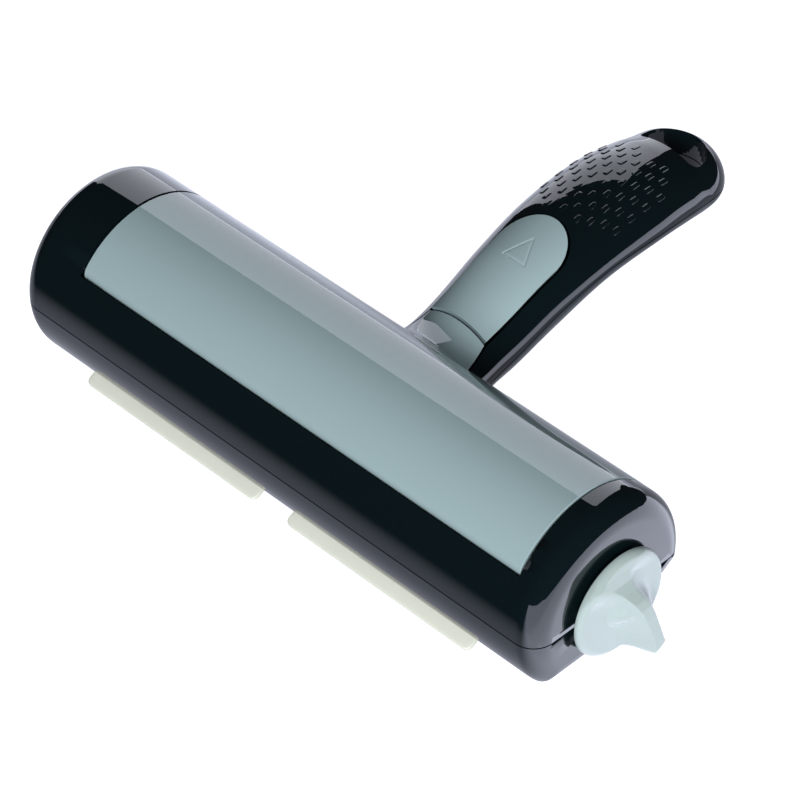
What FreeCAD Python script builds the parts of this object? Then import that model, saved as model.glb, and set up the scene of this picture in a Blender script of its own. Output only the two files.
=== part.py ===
import FreeCAD, Part
import math
import os
from FreeCAD import Vector

# Self-cleaning lint roller. Millimetres. +X runs along the barrel to the knob, +Y out along the
# handle, +Z up through the lid. The shapes are drawn about the barrel's axis at mid-length, then
# moved along X so that the origin is the centre of the plain end face.

# ---- driving dimensions: barrel casing ----
BARREL_LENGTH = 190.0
BARREL_RADIUS = 27.5
CASING_WALL = 2.2
END_WALL = 3.0
END_FILLET = 6.5
BASE_DROP = 18.0          # flat underside, below the axis
BEVEL_REACH = 18.8        # rear underside flat, distance from the axis
BEVEL_ANGLE = -57.0       # direction its outside faces, degrees from +Y
PARTING_Z = -1.1
SEAM_GAP = 0.2
FLAT_SEAM_TO = 28.0       # beyond this the seam follows the handle

# ---- handle ----
HANDLE_X = 5.0
TIP_START = 119.0         # the rounded end begins here
TIP_LENGTH = 15.0
TIP_SOLID_FROM = 112.0    # solid plastic from here to the tip, round the hanging hole
NECK_TO = 46.0            # stretch of handle that the lid's tongue follows
GRIP_TO = 98.0            # stretch of handle that the button follows
# (distance out, widest line's height, half width, height above it, depth below it)
HANDLE_STATIONS = [
    (20.0, -1.1, 24.0, 18.4, 9.5),
    (22.0, -1.1, 21.0, 16.8, 9.0),
    (24.5, -1.1, 18.2, 14.7, 8.4),
    (28.0, -1.0, 16.0, 12.9, 7.9),
    (33.0, 0.2, 15.0, 11.3, 8.0),
    (38.0, 1.9, 14.7, 11.0, 9.1),
    (46.0, 4.8, 15.0, 10.8, 11.0),
    (60.0, 10.8, 15.8, 10.2, 12.6),
    (78.0, 15.9, 17.0, 9.9, 10.5),
    (98.0, 17.2, 17.6, 11.5, 9.0),
    (112.0, 16.3, 16.7, 11.2, 9.2),
    (119.0, 15.4, 15.9, 10.6, 9.2),
]
TIP_SHARES = [0.3, 0.56, 0.77, 0.9, 0.97]
TIP_DROOP = 1.0
STATION_STEP = 6.0
SECTION_POINTS = 20
HOLE_HALF_WIDTH = 10.3    # hanging hole, D shaped, straight side towards the barrel
HOLE_NEAR = 117.5
HOLE_FAR = 129.5
HOLE_CORNER = 2.5

# ---- lid of the hair bin ----
LID_X_LOW = -74.5
LID_X_HIGH = 84.6
LID_WALL = 2.0
LID_GAP = 0.4
LID_REAR_ANGLE = 36.6
HINGE_ANGLE = 142.6       # where the hinge bead meets the outer surface
HINGE_BEAD_RADIUS = 2.2
HINGE_CLEARANCE = 0.3
HINGE_PIN_RADIUS = 1.0
HINGE_BOSS_RADIUS = 3.0
HINGE_BOSS_LENGTH = 4.6
HINGE_BOSS_INSET = 0.5
HINGE_PIN_GRIP = 4.0      # length of pin inside the lid's bead
RUNNING_GAP = 0.05
SPRING_ROOM = 8.5         # hollow end of the bead, round the torsion spring
SPRING_ROOM_RADIUS = 1.75
LID_SPRING_RADIUS = 1.4
LID_SPRING_WIRE = 0.2
LID_SPRING_TURNS = 7
LID_SPRING_END_GAP = 0.8
TONGUE_END = 37.5
TONGUE_HALF_WIDTH = 10.0
TONGUE_ROOT_HALF_WIDTH = 18.4
TONGUE_FLARE = [                       # distance out, share of the flare
    (34.0, 0.09), (30.0, 0.20), (27.0, 0.315), (25.0, 0.464), (23.5, 0.65), (22.0, 1.0)
]
TONGUE_ROOT_Y = 14.0
TONGUE_FLOOR_Z = 2.5
TONGUE_ROOM = 3.0         # how far above the skin the tongue's place is cut
HOOK_HALF_WIDTH = 4.0
HOOK_Y = 33.0
HOOK_WALL = 1.6
HOOK_BARB = 1.2
HOOK_FOOT_Z = 3.6
HOOK_BARB_HEIGHT = 1.4
HOOK_TOP_Z = 15.0

# ---- release button ----
BUTTON_GAP = 0.4
BUTTON_NEAR_GAP = 0.6
BUTTON_ROCK_GAP = 0.5     # more room beyond the far end, which moves outwards as it is pressed
BUTTON_PROUD = 0.5
BUTTON_WALL = 2.3
SEAM_TO_BUTTON = 2.0      # the button stays this far above the seam
BUTTON_RADIUS = 10.6      # round far end, and half the button's width there
BUTTON_CENTRE_Y = 63.6
BUTTON_PIVOT_Y = 52.0
BUTTON_PIVOT_Z = 11.2
BUTTON_PIN_RADIUS = 1.0
BUTTON_PIN_HALF = 12.4
EAR_OFFSET = 5.6
EAR_WALL = 2.4
EAR_RADIUS = 2.6
CHEEK_HALF = 3.0          # casing block that holds an end of the pivot pin
CHEEK_TOP = 1.8
CHEEK_TO = 16.0
CHEEK_CLEARANCE = 0.9     # under the button, for its rocking
NOSE_REACH = 1.0          # gap between the button's nose and the lid's barb
NOSE_HEIGHT = 1.5
NOSE_SIDE = 1.0           # nose wider than the hook, each side
NOSE_LIFT = 0.3           # above the barb
ARM_INSET = 1.2
ARM_WALL = 1.8
BUTTON_SPRING_Y = 67.0
BUTTON_SPRING_FOOT = 13.5
BUTTON_SPRING_RADIUS = 2.6
SPRING_WIRE = 0.3
SPRING_TURNS = 5
SPRING_TOP_GAP = 0.4
SPRING_POST_RIM = 1.2

# ---- drum ----
DRUM_X_LOW = -72.5
DRUM_X_HIGH = 69.0
PAD_RADIUS = 21.0
PAD_THICKNESS = 1.7
CORE_WALL = 2.0
DRUM_TOP_Z = 5.0          # flat top plate of the drum, the bin's floor
PAD_INSET = 1.0
PAD_SPLIT_HALF = 1.0      # half the bare rib between the two pads
PAD_TOP_GAP = 0.4
GLUE_GAP = 0.02
RIB_GAP = 0.2
HUB_THICKNESS = 2.5
HUB_RADIUS = 20.4
HUB_SPIGOT = 4.0
SPIGOT_GAP = 0.1
AXLE_RADIUS = 3.0
BUSH_RADIUS = 6.0
BUSH_FLANGE_RADIUS = 7.6
BUSH_FLANGE = 1.3
SEAT_RADIUS = 9.0
SEAT_DEPTH = 5.8
SEAT_GAP = 0.05
CLIP_RADIUS = 5.2
CLIP_THICKNESS = 0.8
CLIP_GAP = 0.3
BUSH_END_GAP = 0.1
STOP_PIN_RADIUS = 1.5
STOP_PIN_ORBIT = 13.0
DRUM_SWING = 38.0         # each way, to the stop pin
STOP_SLACK = 1.5
STOP_GAP = 0.3

# ---- knob ----
KNOB_RADIUS = 15.3
KNOB_STANDOFF = 1.4
KNOB_BASE = 2.2
KNOB_RISE = 10.4
KNOB_TAIL_ANGLE = -64.0
KNOB_RIDGE_HALF = 2.4
KNOB_SCOOP_RADIUS = 9.0
KNOB_BORE_DEPTH = 4.5
KNOB_RIM = 0.9
# (place along the ridge as a share of the radius, share of the rise), low end to tail
KNOB_RIDGE = [(-1.0, 0.20), (-0.5, 0.34), (0.1, 0.58), (0.55, 0.84), (0.86, 1.0), (1.0, 0.90)]
WASHER_RADIUS = 7.0
WASHER_GAP = 0.15

# ---- mouth, rubber strips and inner wipers ----
MOUTH_X_LOW = -76.5
MOUTH_X_HIGH = 73.0
MOUTH_FRONT_Y = -15.2
MOUTH_REAR_ANGLE = -26.0
MOUTH_TOP_Z = -8.0
RAIL_Y = -13.0            # thickened rail along the mouth's front edge, for the strips
RAIL_Z = -12.0
RAIL_OVERHANG = 2.0
DRUM_CLEARANCE = 0.8
STRIP_LENGTH = 65.6
STRIP_SPACING = 77.4      # centre to centre
STRIP_MID_X = -1.8
STRIP_TIP_Y = -24.2
STRIP_TIP_Z = -19.9
STRIP_SLOPE = 28.0
STRIP_DEPTH = 7.0
STRIP_WALL = 1.3
STRIP_BEAD_RADIUS = 1.2
STRIP_GAP = 0.1
WIPER_ANGLE = 9.0         # above the horizontal, front and rear
WIPER_WALL = 1.2
WIPER_TIP_GAP = 0.35
WIPER_FOOT = 3.6

# ---- screws ----
SCREW_RADIUS = 1.25
SCREW_HEAD_RADIUS = 2.6
SCREW_HEAD_HEIGHT = 2.0
SCREW_BOSS_RADIUS = 3.4
SCREW_BITE = 8.0
BARREL_SCREW_X = 88.2
BARREL_SCREW_Y = 16.0
HANDLE_SCREW_YS = [84.0, 103.0]
SCREW_RECESS = 2.4
SCREW_FIT = 0.2
SCREW_TIP_GAP = 0.5
SCREW_ROOM = 5.0
CROSS_HALF = 1.6          # cross slot in the head
CROSS_WALL_HALF = 0.35
CROSS_DEPTH = 1.0

HALF = BARREL_LENGTH / 2.0
INNER_RADIUS = BARREL_RADIUS - CASING_WALL
HINGE_ORBIT = BARREL_RADIUS - HINGE_BEAD_RADIUS
HINGE_Y = HINGE_ORBIT * math.cos(math.radians(HINGE_ANGLE))
HINGE_Z = HINGE_ORBIT * math.sin(math.radians(HINGE_ANGLE))
CORE_RADIUS = PAD_RADIUS - PAD_THICKNESS
FAR = 200.0
X_AXIS = Vector(1, 0, 0)


def rod(radius, x_low, x_high, y=0.0, z=0.0):
    """Cylinder along X."""
    return Part.makeCylinder(radius, x_high - x_low, Vector(x_low, y, z), X_AXIS)


def ring(outer, inner, x_low, x_high, y=0.0, z=0.0):
    """Tube along X."""
    return rod(outer, x_low, x_high, y, z).cut(rod(inner, x_low, x_high, y, z))


def block(x_low, x_high, y_low, y_high, z_low, z_high):
    """Box between two corners."""
    return Part.makeBox(x_high - x_low, y_high - y_low, z_high - z_low, Vector(x_low, y_low, z_low))


def on_circle(radius, degrees, x=0.0):
    """Point on a circle about the barrel's axis."""
    angle = math.radians(degrees)
    return Vector(x, radius * math.cos(angle), radius * math.sin(angle))


def prism_x(points, x_low, x_high):
    """Solid with a polygon outline in Y and Z, drawn out along X."""
    wire = Part.makePolygon([Vector(x_low, y, z) for y, z in points + points[:1]])
    return Part.Face(wire).extrude(Vector(x_high - x_low, 0, 0))


def wedge(low_angle, high_angle, x_low, x_high):
    """Sector about the barrel's axis between two angles."""
    steps = 4
    points = [(0.0, 0.0)]
    for i in range(steps + 1):
        corner = on_circle(FAR / 2, low_angle + (high_angle - low_angle) * i / steps)
        points.append((corner.y, corner.z))
    return prism_x(points, x_low, x_high)


def barrel(shrink, x_low, x_high):
    """Round barrel with its flat underside and rear bevel, every face moved in by shrink."""
    radius = BARREL_RADIUS - shrink
    base_z = -(BASE_DROP - shrink)
    reach = BEVEL_REACH - shrink
    normal = on_circle(1.0, BEVEL_ANGLE)
    along = on_circle(1.0, BEVEL_ANGLE + 90.0)
    front = Vector(0, -math.sqrt(radius**2 - base_z**2), base_z)
    corner = Vector(0, (reach - base_z * normal.z) / normal.y, base_z)
    rear = normal * reach + along * math.sqrt(radius**2 - reach**2)
    arc = Part.Arc(rear, Vector(0, 0, radius), front).toShape()
    edges = [arc, Part.makeLine(front, corner), Part.makeLine(corner, rear)]
    face = Part.Face(Part.Wire(edges))
    face.translate(Vector(x_low, 0, 0))
    return face.extrude(Vector(x_high - x_low, 0, 0))


def rounded_barrel():
    """Outside of the barrel with rounded rims at both ends."""
    solid = barrel(0.0, -HALF, HALF)
    rims = [edge for edge in solid.Edges if edge.BoundBox.XLength < 0.01]
    return solid.makeFillet(END_FILLET, rims)


def hermite(rows, y):
    """Row of handle sizes at a distance out, on smooth curves through the given rows."""
    index = max(i for i in range(len(rows) - 1) if rows[i][0] <= y)
    before, low, high = rows[max(index - 1, 0)], rows[index], rows[index + 1]
    after = rows[min(index + 2, len(rows) - 1)]
    span = high[0] - low[0]
    t = (y - low[0]) / span
    values = [y]
    for k in range(1, len(low)):
        slope_low = (high[k] - before[k]) / (high[0] - before[0]) * span
        slope_high = (after[k] - low[k]) / (after[0] - low[0]) * span
        values.append(
            (2 * t**3 - 3 * t**2 + 1) * low[k]
            + (t**3 - 2 * t**2 + t) * slope_low
            + (3 * t**2 - 2 * t**3) * high[k]
            + (t**3 - t**2) * slope_high
        )
    return tuple(values)


def stations():
    """Handle sections from root to tip, the tip shrinking along a quarter ellipse."""
    root, end = HANDLE_STATIONS[0][0], HANDLE_STATIONS[-1][0]
    count = round((end - root) / STATION_STEP)
    ys = [root + (end - root) * i / count for i in range(count)]
    rows = [hermite(HANDLE_STATIONS, y) for y in ys] + [HANDLE_STATIONS[-1]]
    _, z_line, half_width, above, below = rows[-1]
    for share in TIP_SHARES:
        size = math.sqrt(1.0 - share**2)
        height = size**0.8
        row_z = z_line - TIP_DROOP * share**2
        row_y = TIP_START + TIP_LENGTH * share
        rows.append((row_y, row_z, half_width * size, above * height, below * height))
    return rows


def section(half_width, above, below, y, z):
    """Closed handle section: half an ellipse above its widest line and half of one below."""
    points = []
    for i in range(SECTION_POINTS):
        turn = 2.0 * math.pi * i / SECTION_POINTS
        height = above if turn < math.pi else below
        points.append(Vector(HANDLE_X + half_width * math.cos(turn), y, z + height * math.sin(turn)))
    curve = Part.BSplineCurve()
    even = [float(i) for i in range(SECTION_POINTS + 1)]
    curve.interpolate(Points=points, PeriodicFlag=True, Parameters=even)
    return Part.Wire(curve.toShape())


def handle(grow, y_last=FAR):
    """Handle outside moved out by grow (in, if negative), from its root up to y_last."""
    wires = []
    for y, z, half_width, above, below in stations():
        if y > y_last or min(half_width, above, below) + grow < 0.5:
            continue
        wires.append(section(half_width + grow, above + grow, below + grow, y, z))
    return Part.makeLoft(wires, True, False)


def upper_side(gap):
    """Everything above the parting surface, raised by gap: flat at the barrel, curved along the handle."""
    line = [(y, z) for y, z, _, _, _ in stations() if y >= FLAT_SEAM_TO]
    points = [Vector(-FAR, y, z + gap) for y, z in line]
    end = points[-1] + Vector(0, FAR / 4, 0)
    curve = Part.BSplineCurve()
    curve.interpolate(Points=points + [end])
    start = Vector(-FAR, -FAR / 2, PARTING_Z + gap)
    join = Vector(-FAR, FLAT_SEAM_TO - STATION_STEP / 2, PARTING_Z + gap)
    top_end = Vector(-FAR, end.y, FAR / 2)
    top_start = Vector(-FAR, start.y, FAR / 2)
    edges = [
        Part.makeLine(start, join),
        Part.makeLine(join, points[0]),
        curve.toShape(),
        Part.makeLine(end, top_end),
        Part.makeLine(top_end, top_start),
        Part.makeLine(top_start, start),
    ]
    return Part.Face(Part.Wire(edges)).extrude(Vector(2 * FAR, 0, 0))


def plan_prism(edges, z_low, z_high):
    """Solid with a closed outline in X and Y, drawn up along Z."""
    face = Part.Face(Part.Wire(edges))
    face.translate(Vector(0, 0, z_low))
    return face.extrude(Vector(0, 0, z_high - z_low))


def tongue_plan(grow):
    """Plan of the lid's tongue: straight across its end, flaring out to the barrel."""
    flare = TONGUE_ROOT_HALF_WIDTH - TONGUE_HALF_WIDTH
    shares = [(TONGUE_END + grow, 0.0)] + TONGUE_FLARE
    line = [(y, TONGUE_HALF_WIDTH + flare * share + grow) for y, share in shares]
    right = [Vector(HANDLE_X + half, y, 0) for y, half in line]
    left = [Vector(HANDLE_X - half, y, 0) for y, half in line]
    right_side, left_side = Part.BSplineCurve(), Part.BSplineCurve()
    right_side.interpolate(Points=right)
    left_side.interpolate(Points=left)
    right_root = Vector(right[-1].x, TONGUE_ROOT_Y, 0)
    left_root = Vector(left[-1].x, TONGUE_ROOT_Y, 0)
    edges = [
        right_side.toShape(),
        Part.makeLine(right[-1], right_root),
        Part.makeLine(right_root, left_root),
        Part.makeLine(left_root, left[-1]),
        left_side.toShape(),
        Part.makeLine(left[0], right[0]),
    ]
    return plan_prism(edges, TONGUE_FLOOR_Z, FAR / 2)


def button_plan(grow):
    """Plan of the button: square near end, round far end."""
    near = TONGUE_END + BUTTON_NEAR_GAP - grow
    radius = BUTTON_RADIUS + grow
    near_half = TONGUE_HALF_WIDTH + grow
    right_near = Vector(HANDLE_X + near_half, near, 0)
    left_near = Vector(HANDLE_X - near_half, near, 0)
    right = Vector(HANDLE_X + radius, BUTTON_CENTRE_Y, 0)
    left = Vector(HANDLE_X - radius, BUTTON_CENTRE_Y, 0)
    apex = Vector(HANDLE_X, BUTTON_CENTRE_Y + radius, 0)
    edges = [
        Part.makeLine(left_near, right_near),
        Part.makeLine(right_near, right),
        Part.Arc(right, apex, left).toShape(),
        Part.makeLine(left, left_near),
    ]
    return plan_prism(edges, 0.0, FAR / 2)


def button_room():
    """Plan of the button's place in the casing, longer at the far end for its rocking."""
    plan = button_plan(BUTTON_GAP)
    return plan.fuse(plan.translated(Vector(0, BUTTON_ROCK_GAP, 0))).removeSplitter()


def hanging_hole():
    """D-shaped hole through the handle's end."""
    right = HANDLE_X + HOLE_HALF_WIDTH
    left = HANDLE_X - HOLE_HALF_WIDTH
    shoulder = HOLE_NEAR + HOLE_CORNER
    apex = Vector(HANDLE_X, HOLE_FAR, 0)
    bend = HOLE_CORNER * (1.0 - math.sqrt(0.5))
    edges = [
        Part.makeLine(Vector(left + HOLE_CORNER, HOLE_NEAR, 0), Vector(right - HOLE_CORNER, HOLE_NEAR, 0)),
        Part.Arc(
            Vector(right - HOLE_CORNER, HOLE_NEAR, 0),
            Vector(right - bend, HOLE_NEAR + bend, 0),
            Vector(right, shoulder, 0),
        ).toShape(),
        Part.Arc(Vector(right, shoulder, 0), apex, Vector(left, shoulder, 0)).toShape(),
        Part.Arc(
            Vector(left, shoulder, 0),
            Vector(left + bend, HOLE_NEAR + bend, 0),
            Vector(left + HOLE_CORNER, HOLE_NEAR, 0),
        ).toShape(),
    ]
    return plan_prism(edges, -FAR / 4, FAR / 2)


def coil(radius, wire, height, turns):
    """Round wire spring standing on Z, from wire radius above zero up to height."""
    pitch = (height - 2.0 * wire) / turns
    helix = Part.makeHelix(pitch, height - 2.0 * wire, radius)
    rise = Vector(0, 1, pitch / (2 * math.pi * radius))
    profile = Part.Wire(Part.makeCircle(wire, Vector(radius, 0, 0), rise))
    solid = Part.Wire(helix).makePipeShell([profile], True, True)
    solid.translate(Vector(0, 0, wire))
    return solid


def around(x, y, z_low, z_high):
    """Upright block round a screw's axis."""
    return block(x - SCREW_ROOM, x + SCREW_ROOM, y - SCREW_ROOM, y + SCREW_ROOM, z_low, z_high)


def screw_places():
    """Axis of every casing screw."""
    places = [(sx * BARREL_SCREW_X, sy * BARREL_SCREW_Y) for sx in (-1, 1) for sy in (-1, 1)]
    return places + [(HANDLE_X, y) for y in HANDLE_SCREW_YS]


def seam_height(y):
    """Height of the parting surface at a distance out, straight between stations."""
    rows = stations()
    for (y0, z0, *_), (y1, z1, *_) in zip(rows, rows[1:]):
        if y0 <= y <= y1:
            return z0 + (z1 - z0) * (y - y0) / (y1 - y0)
    return PARTING_Z


def lower_skin(x, y, outside):
    """Lowest height of the outside at a screw's axis."""
    line = Part.makeLine(Vector(x, y, -FAR / 4), Vector(x, y, seam_height(y)))
    return outside.common(line).BoundBox.ZMin


def screw_seat(x, y, outside):
    """Underside of a screw's head, recessed from the outside."""
    return lower_skin(x, y, outside) + SCREW_RECESS + SCREW_HEAD_HEIGHT


def strip_section(grow):
    """Strip's outline: a bead and a straight blade running down and forward, as two overlapping shapes."""
    slope = math.radians(STRIP_SLOPE)
    blade_y, blade_z = -math.cos(slope), -math.sin(slope)
    side_y, side_z = -blade_z, blade_y
    bead = (STRIP_TIP_Y - STRIP_DEPTH * blade_y, STRIP_TIP_Z - STRIP_DEPTH * blade_z)
    half = STRIP_WALL / 2.0 + grow
    tip = (STRIP_TIP_Y + grow * blade_y, STRIP_TIP_Z + grow * blade_z)
    blade = [
        (bead[0] + half * side_y, bead[1] + half * side_z),
        (bead[0] - half * side_y, bead[1] - half * side_z),
        (tip[0] - half * side_y, tip[1] - half * side_z),
        (tip[0] + half * side_y, tip[1] + half * side_z),
    ]
    return bead, blade


def strip(x_low, x_high, grow=0.0):
    """One rubber strip, or with grow its slot."""
    bead, blade = strip_section(grow)
    body = rod(STRIP_BEAD_RADIUS + grow, x_low - grow, x_high + grow, *bead)
    return body.fuse(prism_x(blade, x_low - grow, x_high + grow)).removeSplitter()


def strip_spans():
    """Ends of the two strips along X."""
    spans = []
    for side in (-1, 1):
        middle = STRIP_MID_X + side * STRIP_SPACING / 2.0
        spans.append((middle - STRIP_LENGTH / 2.0, middle + STRIP_LENGTH / 2.0))
    return spans


def wiper(side, grow=0.0):
    """Inner lip that combs hair off the drum: a foot against the wall and a blade towards the drum."""
    tip_radius = PAD_RADIUS + WIPER_TIP_GAP
    angle = WIPER_ANGLE if side > 0 else 180.0 - WIPER_ANGLE
    wall = INNER_RADIUS - STRIP_GAP
    foot_turn = math.degrees(WIPER_FOOT / INNER_RADIUS)
    blade_turn = math.degrees(WIPER_WALL / INNER_RADIUS)
    low, high = sorted((angle, angle + side * foot_turn))
    foot = ring(wall + grow, wall - WIPER_WALL, DRUM_X_LOW, DRUM_X_HIGH).common(
        wedge(low, high, DRUM_X_LOW - 1, DRUM_X_HIGH + 1)
    )
    low, high = sorted((angle, angle + side * blade_turn))
    blade = ring(wall - WIPER_WALL / 2, tip_radius, DRUM_X_LOW, DRUM_X_HIGH).common(
        wedge(low, high, DRUM_X_LOW - 1, DRUM_X_HIGH + 1)
    )
    return foot.fuse(blade).removeSplitter()


def bin_opening():
    """What the lid's place removes from the casing."""
    edge_turn = math.degrees(LID_GAP / BARREL_RADIUS)
    x_low, x_high = LID_X_LOW - LID_GAP, LID_X_HIGH + LID_GAP
    sector = wedge(LID_REAR_ANGLE - edge_turn, HINGE_ANGLE, x_low, x_high)
    trough = rod(HINGE_BEAD_RADIUS + HINGE_CLEARANCE, x_low, x_high, HINGE_Y, HINGE_Z)
    keep = INNER_RADIUS / 2
    return sector.cut(rod(keep, x_low, x_high)).fuse(trough)


def lid_shell(thickness):
    """Skin of that thickness under the outside of the barrel and the handle's neck."""
    outside = rod(BARREL_RADIUS, LID_X_LOW, LID_X_HIGH).fuse(handle(0.0, NECK_TO))
    inside = rod(BARREL_RADIUS - thickness, -HALF, HALF).fuse(handle(-thickness, NECK_TO))
    return outside.cut(inside)


def screw_posts(outside, upper_part, lower_part):
    """Screw posts of the upper and of the lower casing, each kept to its own side of the seam."""
    upper_posts, lower_posts = [], []
    for x, y in screw_places():
        post = Part.makeCylinder(SCREW_BOSS_RADIUS, FAR, Vector(x, y, -FAR / 2)).common(outside)
        upper_posts.append(post.common(upper_part))
        lower_posts.append(post.cut(lower_part))
    return upper_posts, lower_posts


def hinge_bosses():
    """Bosses at both ends of the lid that hold the hinge pins."""
    bosses = []
    for x_low in (LID_X_LOW - LID_GAP - HINGE_BOSS_LENGTH, LID_X_HIGH + LID_GAP):
        boss = rod(HINGE_BOSS_RADIUS, x_low, x_low + HINGE_BOSS_LENGTH, HINGE_Y, HINGE_Z)
        bosses.append(boss.common(barrel(HINGE_BOSS_INSET, -HALF, HALF)))
    return bosses


def pivot_cheeks(upper_part):
    """Blocks on both walls of the handle that hold the ends of the button's pivot pin."""
    rocking_room = button_room().cut(handle(BUTTON_PROUD - BUTTON_WALL - CHEEK_CLEARANCE, GRIP_TO))
    room = handle(-CASING_WALL / 2, GRIP_TO).common(upper_part)
    cheeks = []
    for side in (-1, 1):
        x_low, x_high = sorted(
            (HANDLE_X + side * (EAR_OFFSET + EAR_WALL + BUTTON_GAP), HANDLE_X + side * CHEEK_TO)
        )
        cheek = block(
            x_low,
            x_high,
            BUTTON_PIVOT_Y - CHEEK_HALF,
            BUTTON_PIVOT_Y + CHEEK_HALF,
            BUTTON_PIVOT_Z - CHEEK_HALF,
            BUTTON_PIVOT_Z + CHEEK_TOP,
        )
        cheeks.append(cheek.common(room).cut(rocking_room))
    return cheeks


def tongue_opening():
    """What the tongue's place removes from the casing."""
    over = rod(BARREL_RADIUS + TONGUE_ROOM, LID_X_LOW, LID_X_HIGH).fuse(handle(TONGUE_ROOM, NECK_TO))
    depth = max(LID_WALL, CASING_WALL) + LID_GAP
    under = rod(BARREL_RADIUS - depth, -HALF, HALF).fuse(handle(-depth, NECK_TO))
    return over.cut(under).common(tongue_plan(LID_GAP))


def make_casings():
    """Upper and lower half of the casing, each with its share of barrel and handle."""
    outside = rounded_barrel().fuse(handle(0.0))
    barrel_room = barrel(CASING_WALL, -HALF + END_WALL, HALF - END_WALL)
    handle_room = handle(-CASING_WALL, TIP_SOLID_FROM).cut(rod(BARREL_RADIUS, -HALF, HALF))
    seats = rod(SEAT_RADIUS, -HALF + END_WALL / 2, -HALF + END_WALL + SEAT_DEPTH)
    seats = seats.fuse(rod(SEAT_RADIUS, HALF - END_WALL - SEAT_DEPTH, HALF - END_WALL / 2)).common(outside)
    shell = outside.cut(barrel_room).cut(handle_room).cut(hanging_hole())
    upper_part = upper_side(SEAM_GAP / 2)
    lower_part = upper_side(-SEAM_GAP / 2)
    upper_posts, lower_posts = screw_posts(outside, upper_part, lower_part)
    button_cut = button_room().cut(handle(-CASING_WALL - BUTTON_GAP, TIP_SOLID_FROM))
    button_cut = button_cut.common(upper_side(SEAM_TO_BUTTON - BUTTON_GAP))

    upper = shell.common(upper_part)
    upper = upper.fuse([seats.common(upper_part)] + upper_posts + hinge_bosses())
    upper = upper.cut(bin_opening()).cut(tongue_opening()).cut(button_cut)
    upper = upper.fuse(pivot_cheeks(upper_part))

    lower = shell.cut(lower_part)
    lower = lower.fuse([seats.cut(lower_part)] + lower_posts)
    rail = barrel(CASING_WALL / 2, MOUTH_X_LOW - RAIL_OVERHANG, MOUTH_X_HIGH + RAIL_OVERHANG).common(
        block(-HALF, HALF, -FAR / 4, RAIL_Y, -FAR / 4, RAIL_Z)
    )
    lower = lower.fuse(rail).fuse(spring_post())
    drum_room = rod(PAD_RADIUS + DRUM_CLEARANCE, MOUTH_X_LOW, MOUTH_X_HIGH)
    lower = lower.cut(drum_room).cut(mouth())
    for x_low, x_high in strip_spans():
        lower = lower.cut(strip(x_low, x_high, STRIP_GAP))

    bore = rod(BUSH_RADIUS + SEAT_GAP, -HALF + END_WALL, -HALF + END_WALL + FAR / 20)
    bore = bore.fuse(rod(BUSH_RADIUS + SEAT_GAP, HALF - FAR / 20, HALF + 1))
    left_pin, right_pin = hinge_pin_spans()
    upper = upper.cut(bore).cut(
        [
            rod(STOP_PIN_RADIUS, -HALF + END_WALL / 2, -HALF + END_WALL + 1, *stop_pin_place()),
            rod(HINGE_PIN_RADIUS, left_pin[0], right_pin[1], HINGE_Y, HINGE_Z),
            button_pin(),
        ]
    )
    lower = lower.cut(bore)
    for x, y in screw_places():
        seat = screw_seat(x, y, outside)
        shank = Part.makeCylinder(SCREW_RADIUS, FAR, Vector(x, y, seat))
        upper = upper.cut(shank.common(around(x, y, -FAR / 4, seam_height(y) + SCREW_BITE)))
        clearance = Part.makeCylinder(SCREW_RADIUS + SCREW_FIT, FAR, Vector(x, y, -FAR / 2))
        head = Part.makeCylinder(SCREW_HEAD_RADIUS + SCREW_FIT, FAR, Vector(x, y, seat - FAR))
        lower = lower.cut(clearance).cut(head)
    return upper, lower, outside


def mouth():
    """Opening in the underside, from its front edge round to its rear edge on the bevel."""
    rear = on_circle(BEVEL_REACH / math.cos(math.radians(MOUTH_REAR_ANGLE - BEVEL_ANGLE)), MOUTH_REAR_ANGLE)
    points = [
        (MOUTH_FRONT_Y, -FAR / 4),
        (MOUTH_FRONT_Y, MOUTH_TOP_Z),
        (0.0, 0.0),
        (rear.y, rear.z),
        (rear.y + FAR / 8, rear.z - FAR / 4),
    ]
    return prism_x(points, MOUTH_X_LOW, MOUTH_X_HIGH)


def spring_post():
    """Post on the handle's floor that carries the button's spring."""
    foot = Vector(HANDLE_X, BUTTON_SPRING_Y, BUTTON_SPRING_FOOT - FAR / 4)
    post = Part.makeCylinder(BUTTON_SPRING_RADIUS + SPRING_POST_RIM, FAR / 4, foot)
    return post.common(handle(-CASING_WALL / 2, GRIP_TO))


def make_lid():
    """Curved lid with its hinge bead, the tongue over the neck and the latch hook."""
    sector = wedge(LID_REAR_ANGLE, HINGE_ANGLE, LID_X_LOW, LID_X_HIGH)
    tongue = tongue_plan(0.0)
    lid = lid_shell(LID_WALL).common(sector.fuse(tongue))
    bead = rod(HINGE_BEAD_RADIUS, LID_X_LOW, LID_X_HIGH, HINGE_Y, HINGE_Z)
    x_low, x_high = HANDLE_X - HOOK_HALF_WIDTH, HANDLE_X + HOOK_HALF_WIDTH
    hook = block(x_low, x_high, HOOK_Y, HOOK_Y + HOOK_WALL, HOOK_FOOT_Z, HOOK_TOP_Z)
    hook = hook.common(handle(-LID_WALL / 2, NECK_TO))
    barb = block(
        x_low,
        x_high,
        HOOK_Y + HOOK_WALL / 2,
        HOOK_Y + HOOK_WALL + HOOK_BARB,
        HOOK_FOOT_Z,
        HOOK_FOOT_Z + HOOK_BARB_HEIGHT,
    )
    lid = lid.fuse([bead, hook, barb]).removeSplitter()
    lid = lid.cut(rod(SPRING_ROOM_RADIUS, LID_X_LOW - 1, LID_X_LOW + SPRING_ROOM, HINGE_Y, HINGE_Z))
    for pin in hinge_pin_spans():
        lid = lid.cut(rod(HINGE_PIN_RADIUS + RUNNING_GAP, pin[0], pin[1], HINGE_Y, HINGE_Z))
    return lid


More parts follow.
